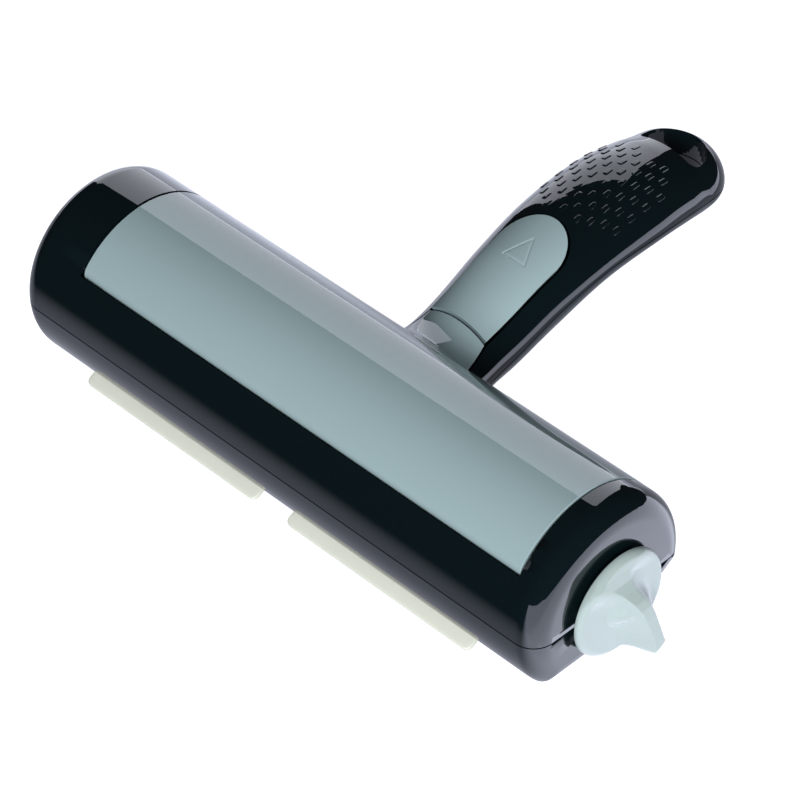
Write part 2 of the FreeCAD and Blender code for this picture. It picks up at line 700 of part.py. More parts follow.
def hinge_pin_spans():
    """Ends of the left and right hinge pins along X."""
    left = (LID_X_LOW - LID_GAP - HINGE_BOSS_LENGTH, LID_X_LOW + SPRING_ROOM + HINGE_PIN_GRIP)
    right = (LID_X_HIGH - HINGE_PIN_GRIP, LID_X_HIGH + LID_GAP + HINGE_BOSS_LENGTH)
    return left, right


def make_lid_spring():
    """Torsion spring round the left hinge pin."""
    height = SPRING_ROOM - 2.0 * LID_SPRING_END_GAP
    spring = coil(LID_SPRING_RADIUS, LID_SPRING_WIRE, height, LID_SPRING_TURNS)
    spring.rotate(Vector(0, 0, 0), Vector(0, 1, 0), 90)
    spring.translate(Vector(LID_X_LOW + LID_SPRING_END_GAP, HINGE_Y, HINGE_Z))
    return spring


def button_pin():
    """Pin that the release button rocks on."""
    x_low, x_high = HANDLE_X - BUTTON_PIN_HALF, HANDLE_X + BUTTON_PIN_HALF
    return rod(BUTTON_PIN_RADIUS, x_low, x_high, BUTTON_PIVOT_Y, BUTTON_PIVOT_Z)


def make_button():
    """Rocking release button: curved cap, pivot ears, and the arm whose nose holds the lid's hook."""
    cap = handle(BUTTON_PROUD, GRIP_TO).common(button_plan(0.0)).common(upper_side(SEAM_TO_BUTTON))
    cap = cap.cut(handle(BUTTON_PROUD - BUTTON_WALL, GRIP_TO))
    pieces = []
    room = handle(BUTTON_PROUD - BUTTON_WALL / 2, GRIP_TO)
    for side in (-1, 1):
        x_low, x_high = sorted((HANDLE_X + side * EAR_OFFSET, HANDLE_X + side * (EAR_OFFSET + EAR_WALL)))
        eye = rod(EAR_RADIUS, x_low, x_high, BUTTON_PIVOT_Y, BUTTON_PIVOT_Z)
        web = block(
            x_low, x_high, BUTTON_PIVOT_Y - EAR_RADIUS, BUTTON_PIVOT_Y + EAR_RADIUS, BUTTON_PIVOT_Z, FAR / 4
        )
        pieces.append(eye.fuse(web.common(room)))
    half = HOOK_HALF_WIDTH + NOSE_SIDE
    nose_y = HOOK_Y + HOOK_WALL + HOOK_BARB + NOSE_REACH
    nose_z = HOOK_FOOT_Z + HOOK_BARB_HEIGHT + NOSE_LIFT
    arm_y = TONGUE_END + BUTTON_NEAR_GAP + ARM_INSET
    arm = block(HANDLE_X - half, HANDLE_X + half, arm_y, arm_y + ARM_WALL, nose_z, FAR / 4).common(room)
    nose = block(HANDLE_X - half, HANDLE_X + half, nose_y, arm_y + ARM_WALL, nose_z, nose_z + NOSE_HEIGHT)
    button = cap.fuse(pieces + [arm, nose]).removeSplitter()
    x_low, x_high = HANDLE_X - BUTTON_PIN_HALF, HANDLE_X + BUTTON_PIN_HALF
    return button.cut(rod(BUTTON_PIN_RADIUS + RUNNING_GAP, x_low, x_high, BUTTON_PIVOT_Y, BUTTON_PIVOT_Z))


def make_button_spring():
    """Coil under the button's far end, short of the lowest part of the cap above it."""
    row = hermite(HANDLE_STATIONS, BUTTON_SPRING_Y - BUTTON_SPRING_RADIUS - SPRING_WIRE)
    underside = row[1] + row[3] + BUTTON_PROUD - BUTTON_WALL
    height = underside - SPRING_TOP_GAP - BUTTON_SPRING_FOOT
    spring = coil(BUTTON_SPRING_RADIUS, SPRING_WIRE, height, SPRING_TURNS)
    spring.translate(Vector(HANDLE_X, BUTTON_SPRING_Y, BUTTON_SPRING_FOOT))
    return spring


def make_drum_core():
    """D-shaped hollow drum shell with a flat top plate and a rib between the pads."""
    below = block(DRUM_X_LOW, DRUM_X_HIGH, -FAR / 4, FAR / 4, -FAR / 4, DRUM_TOP_Z)
    room_below = block(DRUM_X_LOW, DRUM_X_HIGH, -FAR / 4, FAR / 4, -FAR / 4, DRUM_TOP_Z - CORE_WALL)
    outer = rod(CORE_RADIUS, DRUM_X_LOW, DRUM_X_HIGH).common(below)
    inner = rod(CORE_RADIUS - CORE_WALL, DRUM_X_LOW, DRUM_X_HIGH).common(room_below)
    rib_radius = CORE_RADIUS + PAD_THICKNESS / 2
    rib_half = PAD_SPLIT_HALF - RIB_GAP
    rib_top = -CORE_RADIUS + CORE_WALL / 2
    rib = block(DRUM_X_LOW + PAD_INSET, DRUM_X_HIGH - PAD_INSET, -rib_half, rib_half, -rib_radius, rib_top)
    return outer.cut(inner).fuse(rib).removeSplitter()


def make_pad(side):
    """Directional fabric pad, a curved sheet on one half of the drum."""
    top_angle = math.degrees(math.asin((DRUM_TOP_Z - PAD_TOP_GAP) / PAD_RADIUS))
    split = math.degrees(PAD_SPLIT_HALF / CORE_RADIUS)
    if side > 0:
        low, high = -90.0 + split, top_angle
    else:
        low, high = 180.0 - top_angle, 270.0 - split
    sheet = ring(PAD_RADIUS, CORE_RADIUS + GLUE_GAP, DRUM_X_LOW + PAD_INSET, DRUM_X_HIGH - PAD_INSET)
    return sheet.common(wedge(low, high, DRUM_X_LOW, DRUM_X_HIGH))


def make_hub(side):
    """End disc of the drum with a spigot inside the shell; the left one carries the stop slot."""
    face = DRUM_X_HIGH if side > 0 else DRUM_X_LOW
    x_low, x_high = sorted((face, face + side * HUB_THICKNESS))
    disc = rod(HUB_RADIUS, x_low, x_high)
    s_low, s_high = sorted((face - side * HUB_SPIGOT, face))
    spigot = rod(CORE_RADIUS - CORE_WALL - SPIGOT_GAP, s_low, s_high).common(
        block(s_low, s_high, -FAR / 4, FAR / 4, -FAR / 4, DRUM_TOP_Z - CORE_WALL - SPIGOT_GAP)
    )
    hub = disc.fuse(spigot).removeSplitter().cut(rod(AXLE_RADIUS, -HALF, HALF))
    if side < 0:
        hub = hub.cut(stop_slot(-HALF, DRUM_X_LOW + 2.0 * HUB_SPIGOT))
    return hub


def stop_pin_place():
    """Centre of the stop pin, straight above the axle."""
    return 0.0, STOP_PIN_ORBIT


def stop_slot(x_low, x_high):
    """Curved slot in the left hub that the stop pin rides in."""
    reach = STOP_PIN_RADIUS + STOP_GAP
    half_turn = DRUM_SWING + math.degrees(reach / STOP_PIN_ORBIT) + STOP_SLACK
    band = ring(STOP_PIN_ORBIT + reach, STOP_PIN_ORBIT - reach, x_low, x_high)
    return band.common(wedge(90.0 - half_turn, 90.0 + half_turn, x_low, x_high))


def knob_side():
    """Side outline of the knob: how far it rises along its ridge, low end to tail."""
    base_x = HALF + KNOB_STANDOFF
    top = [Vector(s * KNOB_RADIUS, 0, base_x + share * KNOB_RISE) for s, share in KNOB_RIDGE]
    curve = Part.BSplineCurve()
    curve.interpolate(Points=top)
    low = Vector(-KNOB_RADIUS, 0, base_x)
    high = Vector(KNOB_RADIUS, 0, base_x)
    ends = [Part.makeLine(top[-1], high), Part.makeLine(high, low)]
    return Part.Face(Part.Wire([Part.makeLine(low, top[0]), curve.toShape()] + ends))


def make_knob():
    """Finger knob: a round base and a ridge between two scoops, rising to a tail."""
    base_x = HALF + KNOB_STANDOFF
    slab = knob_side().extrude(Vector(0, 2 * KNOB_RADIUS, 0))
    slab.translate(Vector(0, -KNOB_RADIUS, 0))
    round_limit = Part.makeCylinder(KNOB_RADIUS, FAR / 4, Vector(0, 0, base_x))
    ridge = slab.common(round_limit)
    floor = base_x + KNOB_BASE
    for side in (-1, 1):
        centre = Vector(-FAR / 2, side * (KNOB_RIDGE_HALF + KNOB_SCOOP_RADIUS), floor + KNOB_SCOOP_RADIUS)
        ridge = ridge.cut(Part.makeCylinder(KNOB_SCOOP_RADIUS, FAR, centre, X_AXIS))
    base = Part.makeCylinder(KNOB_RADIUS, KNOB_BASE, Vector(0, 0, base_x))
    base = base.makeFillet(KNOB_RIM, [edge for edge in base.Edges if edge.Closed])
    body = base.fuse(ridge).removeSplitter()
    body.rotate(Vector(0, 0, 0), Vector(0, 1, 0), 90)
    body.rotate(Vector(0, 0, 0), X_AXIS, KNOB_TAIL_ANGLE + 90.0)
    return body.cut(rod(AXLE_RADIUS, base_x - 1, base_x + KNOB_BORE_DEPTH))


def make_screw(x, y, outside):
    """Cross-head casing screw, driven up from below."""
    seat = screw_seat(x, y, outside)
    foot = seat - SCREW_HEAD_HEIGHT
    head = Part.makeCylinder(SCREW_HEAD_RADIUS, SCREW_HEAD_HEIGHT, Vector(x, y, foot))
    cross = [
        block(x - a, x + a, y - b, y + b, foot, foot + CROSS_DEPTH)
        for a, b in ((CROSS_HALF, CROSS_WALL_HALF), (CROSS_WALL_HALF, CROSS_HALF))
    ]
    length = seam_height(y) + SCREW_BITE - SCREW_TIP_GAP - seat
    shank = Part.makeCylinder(SCREW_RADIUS, length, Vector(x, y, seat))
    return head.cut(cross).fuse(shank)


def make_bush(wall_end, flange_end):
    """Nylon bush with a flange on its inner end."""
    bore = AXLE_RADIUS + RUNNING_GAP
    flange_face = flange_end + math.copysign(BUSH_FLANGE, flange_end - wall_end)
    body = ring(BUSH_RADIUS, bore, *sorted((wall_end, flange_end)))
    return body.fuse(ring(BUSH_FLANGE_RADIUS, bore, *sorted((flange_end, flange_face)))).removeSplitter()


def make_parts():
    """Every node's solid by name."""
    upper, lower, outside = make_casings()
    left_pin, right_pin = hinge_pin_spans()
    knob_base = HALF + KNOB_STANDOFF
    inner_face = HALF - END_WALL
    bush_wall, bush_flange = inner_face - BUSH_END_GAP, inner_face - SEAT_DEPTH - BUSH_END_GAP
    clip_x = DRUM_X_LOW - HUB_THICKNESS - CLIP_GAP
    parts = {
        "casing_upper": upper,
        "casing_lower": lower,
        "bin_lid": make_lid(),
        "lid_hinge_pin_left": rod(HINGE_PIN_RADIUS, *left_pin, HINGE_Y, HINGE_Z),
        "lid_hinge_pin_right": rod(HINGE_PIN_RADIUS, *right_pin, HINGE_Y, HINGE_Z),
        "lid_spring": make_lid_spring(),
        "release_button": make_button(),
        "button_pivot_pin": button_pin(),
        "button_spring": make_button_spring(),
        "drum_core": make_drum_core(),
        "drum_pad_front": make_pad(-1),
        "drum_pad_rear": make_pad(1),
        "drum_hub_left": make_hub(-1),
        "drum_hub_right": make_hub(1),
        "drum_axle": rod(AXLE_RADIUS, -bush_wall + CLIP_GAP, knob_base + KNOB_BORE_DEPTH),
        "axle_bush_left": make_bush(-bush_wall, -bush_flange),
        "axle_bush_right": make_bush(HALF - SCREW_FIT, bush_flange),
        "axle_clip": ring(CLIP_RADIUS, AXLE_RADIUS, clip_x - CLIP_THICKNESS, clip_x),
        "drum_stop_pin": rod(
            STOP_PIN_RADIUS, -HALF + END_WALL / 2, DRUM_X_LOW - HUB_THICKNESS / 2, *stop_pin_place()
        ),
        "knob": make_knob(),
        "knob_washer": ring(WASHER_RADIUS, AXLE_RADIUS, HALF + WASHER_GAP, knob_base),
        "wiper_front": wiper(-1),
        "wiper_rear": wiper(1),
        "casing_screws": Part.makeCompound([make_screw(x, y, outside) for x, y in screw_places()]),
    }
    for name, span in zip(("strip_left", "strip_right"), strip_spans()):
        parts[name] = strip(*span)
    return parts


os.makedirs("parts", exist_ok=True)
for part_name, part_shape in make_parts().items():
    part_shape.translate(Vector(HALF, 0, 0))
    part_shape.exportStep("parts/" + part_name + ".step")
    print(part_name, len(part_shape.Solids), part_shape.isValid(), round(part_shape.Volume))
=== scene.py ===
"""Looks of the self-cleaning lint roller, built round its CAD frame.

Sizes are in millimetres, in the CAD's own directions, measured from the barrel's middle along X.
Every mesh is moved to the frame's origin and turned into metres when it is made.
"""
import logging
import math
from dataclasses import dataclass
from enum import Enum
from typing import Sequence

import bpy
import bmesh
import numpy as np
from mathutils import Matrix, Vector


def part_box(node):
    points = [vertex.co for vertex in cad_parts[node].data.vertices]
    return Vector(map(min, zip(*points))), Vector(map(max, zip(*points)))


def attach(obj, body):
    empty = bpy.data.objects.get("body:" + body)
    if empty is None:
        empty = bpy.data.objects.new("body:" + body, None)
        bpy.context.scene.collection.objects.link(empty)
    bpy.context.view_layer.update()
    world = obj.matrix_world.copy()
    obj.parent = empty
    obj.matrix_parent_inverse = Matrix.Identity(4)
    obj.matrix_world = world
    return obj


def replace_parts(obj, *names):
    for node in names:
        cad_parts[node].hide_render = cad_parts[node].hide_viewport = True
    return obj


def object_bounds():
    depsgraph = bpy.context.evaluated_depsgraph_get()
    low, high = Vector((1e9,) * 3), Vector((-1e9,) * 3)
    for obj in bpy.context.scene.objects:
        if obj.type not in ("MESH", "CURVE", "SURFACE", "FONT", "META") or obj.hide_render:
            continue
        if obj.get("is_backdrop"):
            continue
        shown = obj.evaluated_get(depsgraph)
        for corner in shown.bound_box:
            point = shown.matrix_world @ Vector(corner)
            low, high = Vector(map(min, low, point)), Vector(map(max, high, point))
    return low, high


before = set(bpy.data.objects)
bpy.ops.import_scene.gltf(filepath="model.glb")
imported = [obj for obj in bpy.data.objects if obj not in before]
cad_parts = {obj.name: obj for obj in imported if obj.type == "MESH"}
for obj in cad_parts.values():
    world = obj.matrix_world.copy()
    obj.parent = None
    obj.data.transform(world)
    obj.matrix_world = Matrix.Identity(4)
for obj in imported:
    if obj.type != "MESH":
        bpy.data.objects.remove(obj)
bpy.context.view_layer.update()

Array = np.ndarray
Socket = bpy.types.NodeSocket
Triple = tuple[float, float, float]
Colour = Triple
Inputs = dict[str | int, object]
Outputs = bpy.types.bpy_prop_collection
LOG = logging.getLogger("lint_roller")
MM = 0.001
BARREL_LOW, BARREL_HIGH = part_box("casing_upper")
MIDDLE_X = 0.5 * (BARREL_LOW[0] + BARREL_HIGH[0]) / MM


class Body(Enum):
    """The CAD's moving bodies."""

    CASING = "casing"
    LID = "lid"
    BUTTON = "button"
    DRUM = "drum"


# ---- shader groups ----


class Graph:
    """A node tree with short ways to add and join nodes."""

    def __init__(self, tree: bpy.types.NodeTree) -> None:
        """Takes the tree to add to."""
        self.tree = tree

    def feed(self, target: Socket, value: object) -> None:
        """Links a socket into the target, or gives the target a value of its own.

        Args:
            target: the input socket.
            value: an output socket, a number or a colour.
        """
        if isinstance(value, Socket):
            self.tree.links.new(value, target)
        else:
            target.default_value = value

    def add(self, kind: str, inputs: Inputs | None = None, **settings: object) -> bpy.types.Node:
        """Adds a node, sets its attributes and feeds its inputs.

        Args:
            kind: the node's type name.
            inputs: what each input gets, by name or number.
            settings: attributes of the node.

        Returns:
            The node.
        """
        node = self.tree.nodes.new(kind)
        for key, value in settings.items():
            setattr(node, key, value)
        for key, value in (inputs or {}).items():
            self.feed(node.inputs[key], value)
        return node

    def math(self, operation: str, first: object, second: object = 0.0, clamp: bool = False) -> Socket:
        """Adds a Math node and returns its result, kept between 0 and 1 where clamp is set."""
        inputs = {0: first, 1: second}
        return self.add("ShaderNodeMath", inputs, operation=operation, use_clamp=clamp).outputs[0]

    def mix(self, share: object, first: object, second: object) -> Socket:
        """Mixes two colours by a share and returns the colour socket."""
        return self.add("ShaderNodeMix", {0: share, 6: first, 7: second}, data_type="RGBA").outputs[2]

    def noise(self, place: Socket, scale: object, detail: float, stretch: Triple = (1.0, 1.0, 1.0)) -> Socket:
        """Adds fractal noise at a place, stretched along the axes, and returns its value socket."""
        mapping = self.add("ShaderNodeMapping", {"Scale": stretch, "Vector": place})
        inputs = {"Detail": detail, "Scale": scale, "Vector": mapping.outputs[0]}
        return self.add("ShaderNodeTexNoise", inputs).outputs["Fac"]

    def ramp(self, value: Socket, low: float, high: float) -> Socket:
        """Stretches a value so that low gives 0 and high gives 1."""
        inputs = {"From Min": low, "From Max": high, "Value": value}
        return self.add("ShaderNodeMapRange", inputs, interpolation_type="SMOOTHSTEP").outputs[0]


def new_group(name: str, inputs: Inputs, outputs: Sequence[str]) -> tuple[Graph, Outputs, Socket]:
    """Makes an empty shader node group.

    Args:
        name: the group's name.
        inputs: default value of each input; a tuple makes a colour.
        outputs: each output; the one named Colour is a colour.

    Returns:
        A graph on the group, what it is given, and Object coordinates.
    """
    graph = Graph(bpy.data.node_groups.new(name, "ShaderNodeTree"))
    kinds = {True: "NodeSocketColor", False: "NodeSocketFloat"}
    for label, value in inputs.items():
        kind = kinds[isinstance(value, tuple)]
        graph.tree.interface.new_socket(label, in_out="INPUT", socket_type=kind).default_value = value
    for label in outputs:
        graph.tree.interface.new_socket(label, in_out="OUTPUT", socket_type=kinds[label == "Colour"])
    LOG.info("group %s", name)
    given = graph.add("NodeGroupInput").outputs
    return graph, given, graph.add("ShaderNodeTexCoord").outputs["Object"]


def moulded_skin_group() -> None:
    """Moulded plastic: faint colour drift, fine dust, handling haze and a moulded face's slow ripple."""
    graph, given, place = new_group(
        "moulded_skin",
        {"Colour": (0.5, 0.5, 0.5, 1.0), "Drift": 0.05, "Roughness": 0.1, "Haze": 0.05, "Grain": 0.0,
         "Dust": 0.1},
        ("Colour", "Roughness", "Height"),
    )
    cloud = graph.noise(place, 18.0, 3.0)
    smear = graph.noise(place, 60.0, 4.0, (0.4, 1.0, 1.0))
    grain = graph.math("MULTIPLY", graph.noise(place, 2600.0, 2.0), given["Grain"])
    speck = graph.ramp(graph.noise(place, 900.0, 1.0), 0.74, 0.8)
    drift = graph.math("MULTIPLY", graph.math("SUBTRACT", cloud, 0.5), given["Drift"])
    value = graph.math("ADD", drift, 1.0)
    drifted = graph.add("ShaderNodeHueSaturation", {"Color": given["Colour"], "Value": value}).outputs[0]
    dust = graph.math("MULTIPLY", speck, given["Dust"])
    haze = graph.math("MULTIPLY", graph.ramp(smear, 0.45, 0.75), given["Haze"])
    dull = graph.math("ADD", haze, graph.math("MULTIPLY", dust, 0.4))
    graph.add("NodeGroupOutput", {
        "Colour": graph.mix(dust, drifted, (0.62, 0.63, 0.62, 1.0)),
        "Roughness": graph.math("ADD", given["Roughness"], dull, True),
        "Height": graph.math("ADD", graph.math("MULTIPLY", cloud, 0.5), grain),
    })


def nap_group() -> None:
    """Short directional pile: fibres brushed along Y and Z, in tufts; its colour follows the pile's height,
    with painted shade low between the tufts and painted light on the high tips.
    """
    graph, given, place = new_group(
        "fabric_nap",
        {"Base": (0.1, 0.1, 0.1, 1.0), "Tips": (0.3, 0.3, 0.3, 1.0), "Tuft Scale": 900.0},
        ("Colour", "Height"),
    )
    fibre = graph.math("MULTIPLY", graph.noise(place, given["Tuft Scale"], 3.0, (3.0, 0.6, 0.6)), 0.7)
    clump = graph.math("MULTIPLY", graph.noise(place, 140.0, 3.0), 0.3)
    height = graph.math("ADD", fibre, clump)
    # painted shade and light: colour goes from the dark base low in the pile to the light tips high up, by
    # the height that drives the bump
    colour = graph.mix(graph.ramp(height, 0.35, 0.65), given["Base"], given["Tips"])
    graph.add("NodeGroupOutput", {"Colour": colour, "Height": height})


def drawn_metal_group() -> None:
    """Drawn or turned metal: fine lines along X and patches of duller oxide."""
    graph, given, place = new_group(
        "drawn_metal",
        {"Colour": (0.6, 0.6, 0.6, 1.0), "Roughness": 0.25, "Lines": 1.0},
        ("Colour", "Roughness", "Height"),
    )
    lines = graph.noise(place, 1800.0, 2.0, (0.03, 1.0, 1.0))
    shade = graph.ramp(graph.noise(place, 200.0, 3.0), 0.3, 0.8)
    graph.add("NodeGroupOutput", {
        "Colour": graph.mix(graph.math("MULTIPLY", shade, 0.25), given["Colour"], (0.2, 0.2, 0.2, 1.0)),
        "Roughness": graph.math("ADD", given["Roughness"], graph.math("MULTIPLY", shade, 0.15)),
        "Height": graph.math("MULTIPLY", lines, given["Lines"]),
    })


# ---- finishes ----


def shared_group(graph: Graph, name: str, values: Inputs) -> Outputs:
    """Places a shared group in a material with its own values, and returns what it puts out."""
    return graph.add("ShaderNodeGroup", values, node_tree=bpy.data.node_groups[name]).outputs


def shade(graph: Graph, inputs: Inputs, height: Socket, distance: float) -> None:
    """Adds a Principled shader to the output, with a Bump node from a height.

    Args:
        graph: the material's graph.
        inputs: what the shader's inputs get.
        height: varying height, 0 to 1.
        distance: how far height 1 stands out, in metres.
    """
    bump = graph.add("ShaderNodeBump", {"Distance": distance, "Height": height}).outputs[0]
    shader = graph.add("ShaderNodeBsdfPrincipled", {**inputs, "Normal": bump})
    graph.add("ShaderNodeOutputMaterial", {"Surface": shader.outputs[0]})


def blank_material(name: str) -> tuple[bpy.types.Material, Graph]:
    """Makes a node material with nothing in it, and a graph on it."""
    material = bpy.data.materials.new(name)
    material.use_nodes = True
    material.node_tree.nodes.clear()
    return material, Graph(material.node_tree)


@dataclass(frozen=True)
class Finish:
    """A named finish whose material is built once."""

    name: str

    def dress(self, graph: Graph) -> None:
        """Fills the material's node tree, as each kind of finish does in its own way."""
        raise NotImplementedError

    def material(self) -> bpy.types.Material:
        """Builds the material, or returns the one already built."""
        if self.name not in bpy.data.materials:
            self.dress(blank_material(self.name)[1])
        return bpy.data.materials[self.name]


@dataclass(frozen=True)
class Plastic(Finish):
    """A moulded plastic or rubber finish."""

    colour: Colour
    roughness: float = 0.1
    drift: float = 0.06
    haze: float = 0.04
    grain: float = 0.0
    dust: float = 0.12
    relief: float = 0.00002
    ior: float = 1.5
    glow_through: float = 0.0
    glow_reach: float = 0.003

    def dress(self, graph: Graph) -> None:
        """Joins the moulded skin to the shader, with light through the plastic where it glows.

        Args:
            graph: the material's graph.
        """
        values = {"Colour": (*self.colour, 1.0), "Drift": self.drift, "Roughness": self.roughness}
        values |= {"Haze": self.haze, "Grain": self.grain, "Dust": self.dust}
        skin = shared_group(graph, "moulded_skin", values)
        inputs = {"Base Color": skin["Colour"], "Roughness": skin["Roughness"], "IOR": self.ior}
        if self.glow_through > 0.0:
            inputs |= {"Subsurface Weight": self.glow_through, "Subsurface Scale": self.glow_reach}
            inputs["Subsurface Radius"] = (1.0, 1.0, 0.9)
        shade(graph, inputs, skin["Height"], self.relief)


@dataclass(frozen=True)
class Metal(Finish):
    """A drawn, turned or plated metal finish."""

    colour: Colour
    roughness: float = 0.25
    lines: float = 1.0
    relief: float = 0.00001

    def dress(self, graph: Graph) -> None:
        """Joins the drawn metal to the shader.

        Args:
            graph: the material's graph.
        """
        values = {"Colour": (*self.colour, 1.0), "Roughness": self.roughness, "Lines": self.lines}
        metal = shared_group(graph, "drawn_metal", values)
        inputs = {"Base Color": metal["Colour"], "Roughness": metal["Roughness"], "Metallic": 1.0}
        shade(graph, inputs, metal["Height"], self.relief)


@dataclass(frozen=True)
class Nap(Finish):
    """A fabric with a short directional pile."""

    # base is painted shade low in the pile, tips is painted light on its high fibres
    base: Colour
    tips: Colour
    tuft_scale: float = 900.0
    relief: float = 0.0005

    def dress(self, graph: Graph) -> None:
        """Joins the pile to the shader, with a soft sheen.

        Args:
            graph: the material's graph.
        """
        values = {"Base": (*self.base, 1.0), "Tips": (*self.tips, 1.0), "Tuft Scale": self.tuft_scale}
        nap = shared_group(graph, "fabric_nap", values)
        inputs = {"Base Color": nap["Colour"], "Roughness": 0.9, "Sheen Weight": 0.6, "Sheen Roughness": 0.4}
        shade(graph, inputs, nap["Height"], self.relief)


@dataclass(frozen=True)
class Finishes:
    """Every finish on the roller."""

    casing: Plastic = Plastic(
        "moulded_casing", (0.0024, 0.0066, 0.0084), 0.015, haze=0.01, dust=0.0, ior=1.52
    )
    sage: Plastic = Plastic("moulded_sage", (0.315, 0.425, 0.45), 0.02, drift=0.03, haze=0.015, dust=0.01)
    mint: Plastic = Plastic(
        "moulded_mint", (0.35, 0.43, 0.425), 0.22, drift=0.04, haze=0.06, grain=0.1, dust=0.02,
        glow_through=0.15,
    )
    strip: Plastic = Plastic(
        "soft_strip", (0.80, 0.84, 0.74), 0.5, drift=0.06, haze=0.1, grain=0.4, dust=0.08, glow_through=0.3
    )
    inner: Plastic = Plastic("moulded_inner", (0.03, 0.035, 0.04), 0.45, haze=0.1, grain=0.5, dust=0.2)
    nylon: Plastic = Plastic("moulded_nylon", (0.7, 0.7, 0.66), 0.4, grain=0.3, dust=0.05, glow_through=0.2)
    steel: Metal = Metal("bright_steel", (0.62, 0.63, 0.64))
    spring: Metal = Metal("spring_wire", (0.5, 0.5, 0.51), 0.3)
    zinc: Metal = Metal("zinc_plate", (0.68, 0.69, 0.7), 0.35, 0.5)
    # pad_nap: the dark colour is painted shade low in the pile, the light colour is painted light on the high
    # fibres
    nap: Nap = Nap("pad_nap", (0.035, 0.05, 0.052), (0.16, 0.21, 0.22))


FINISHES = Finishes()


# ---- surfaces ----


SHARP_ANGLE = math.radians(40.0)
BEVEL_ANGLE = math.radians(42.0)


@dataclass
class Patch:
    """Points of one surface, in millimetres, and its four-cornered faces."""

    points: Array
    faces: Array

    @staticmethod
    def grid(points: Array, wrap: bool = False) -> "Patch":
        """Faces of a grid of points, or of several grids at once, row by row.

        Args:
            points: shape (rows, columns, 3), or (grids, rows, columns, 3).
            wrap: joins the last column to the first.

        Returns:
            The patch.
        """
        index = np.arange(points[..., 0].size).reshape(points.shape[:-1])
        if wrap:
            index = np.concatenate([index, index[..., :1]], axis=-1)
        low, high = index[..., :-1, :], index[..., 1:, :]
        corners = (low[..., :-1], low[..., 1:], high[..., 1:], high[..., :-1])
        return Patch(points.reshape(-1, 3), np.stack(corners, axis=-1).reshape(-1, 4))

    @staticmethod
    def joined(patches: Sequence["Patch"]) -> "Patch":
        """One patch holding all the given ones."""
        offsets = np.cumsum([0] + [len(patch.points) for patch in patches])
        faces = [patch.faces + offset for patch, offset in zip(patches, offsets)]
        return Patch(np.concatenate([patch.points for patch in patches]), np.concatenate(faces))

    @staticmethod
    def box(low: Sequence[float], high: Sequence[float]) -> "Patch":
        """The six faces of a box between two corners."""
        corner = np.array([[x, y, z] for x in (0, 1) for y in (0, 1) for z in (0, 1)], float)
        points = np.asarray(low) + corner * (np.asarray(high) - np.asarray(low))
        faces = [(0, 1, 3, 2), (4, 6, 7, 5), (0, 4, 5, 1), (2, 3, 7, 6), (0, 2, 6, 4), (1, 5, 7, 3)]
        return Patch(points, np.array(faces))


def capped_tube(rings: Array) -> Patch:
    """A closed body from rings of points: the grid of rings, and a fan to a middle point at each end.

    Args:
        rings: shape (rings, points round, 3).

    Returns:
        The patch, with each cap drawn in to its ring's middle.
    """
    first = np.repeat(rings[:1].mean(axis=1, keepdims=True), rings.shape[1], axis=1)
    last = np.repeat(rings[-1:].mean(axis=1, keepdims=True), rings.shape[1], axis=1)
    return Patch.grid(np.concatenate([first, rings, last]), wrap=True)


def show(name: str, data: bpy.types.ID) -> bpy.types.Object:
    """Makes an object from its data and links it to the scene."""
    made = bpy.data.objects.new(name, data)
    bpy.context.scene.collection.objects.link(made)
    return made


def ride_piece(name: str, mesh: bpy.types.Mesh, body: Body, finish: Finish) -> bpy.types.Object:
    """Shows a mesh as a piece with its finish, and lets it ride on a body.

    Args:
        name: the piece's name.
        mesh: its mesh, in metres.
        body: the CAD body it moves with.
        finish: its finish.

    Returns:
        The object.
    """
    made = show(name, mesh)
    mesh.materials.clear()
    mesh.materials.append(finish.material())
    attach(made, body.value)
    LOG.info("%s: %d faces on %s", name, len(mesh.polygons), body.value)
    return made


def read(items: bpy.types.bpy_prop_collection, key: str, width: int = 1, kind: type = float) -> Array:
    """Reads an attribute of every item.

    Args:
        items: vertices, corners or faces of a mesh.
        key: the attribute's name.
        width: how many numbers each item has.
        kind: their type.

    Returns:
        One row an item, or a flat array where each has one number.
    """
    values = np.empty(len(items) * width, kind)
    items.foreach_get(key, values)
    return values.reshape(-1, width) if width > 1 else values


def squared(wave: Array, power: float) -> Array:
    """Pushes a sine or cosine towards -1 and 1, which turns a circle into a rounded rectangle."""
    return np.sign(wave) * np.abs(wave) ** power


def make_piece(name: str, patch: Patch, body: Body, finish: Finish) -> bpy.types.Object:
    """Turns a patch into a shown piece, its doubles merged and its faces turned outwards.

    Args:
        name: the piece's name.
        patch: its surface in millimetres from the barrel's middle.
        body, finish: as ride_piece takes them.

    Returns:
        The object.
    """
    points = (patch.points + np.array([MIDDLE_X, 0.0, 0.0])) * MM
    mesh = bpy.data.meshes.new(name)
    mesh.from_pydata(points.tolist(), [], patch.faces.tolist())
    shaped = bmesh.new()
    shaped.from_mesh(mesh)
    bmesh.ops.remove_doubles(shaped, verts=shaped.verts, dist=1e-7)
    bmesh.ops.dissolve_degenerate(shaped, edges=shaped.edges, dist=1e-8)
    bmesh.ops.recalc_face_normals(shaped, faces=shaped.faces)
    shaped.to_mesh(mesh)
    shaped.free()
    mesh.polygons.foreach_set("use_smooth", np.ones(len(mesh.polygons), bool))
    mesh.set_sharp_from_angle(angle=SHARP_ANGLE)
    return ride_piece(name, mesh, body, finish)


def wall(piece: bpy.types.Object, thickness: float) -> None:
    """Gives an open sheet its wall, inwards, in millimetres."""
    solidify = piece.modifiers.new("wall", "SOLIDIFY")
    solidify.thickness = thickness * MM
    solidify.offset = -1.0
    solidify.use_even_offset = True


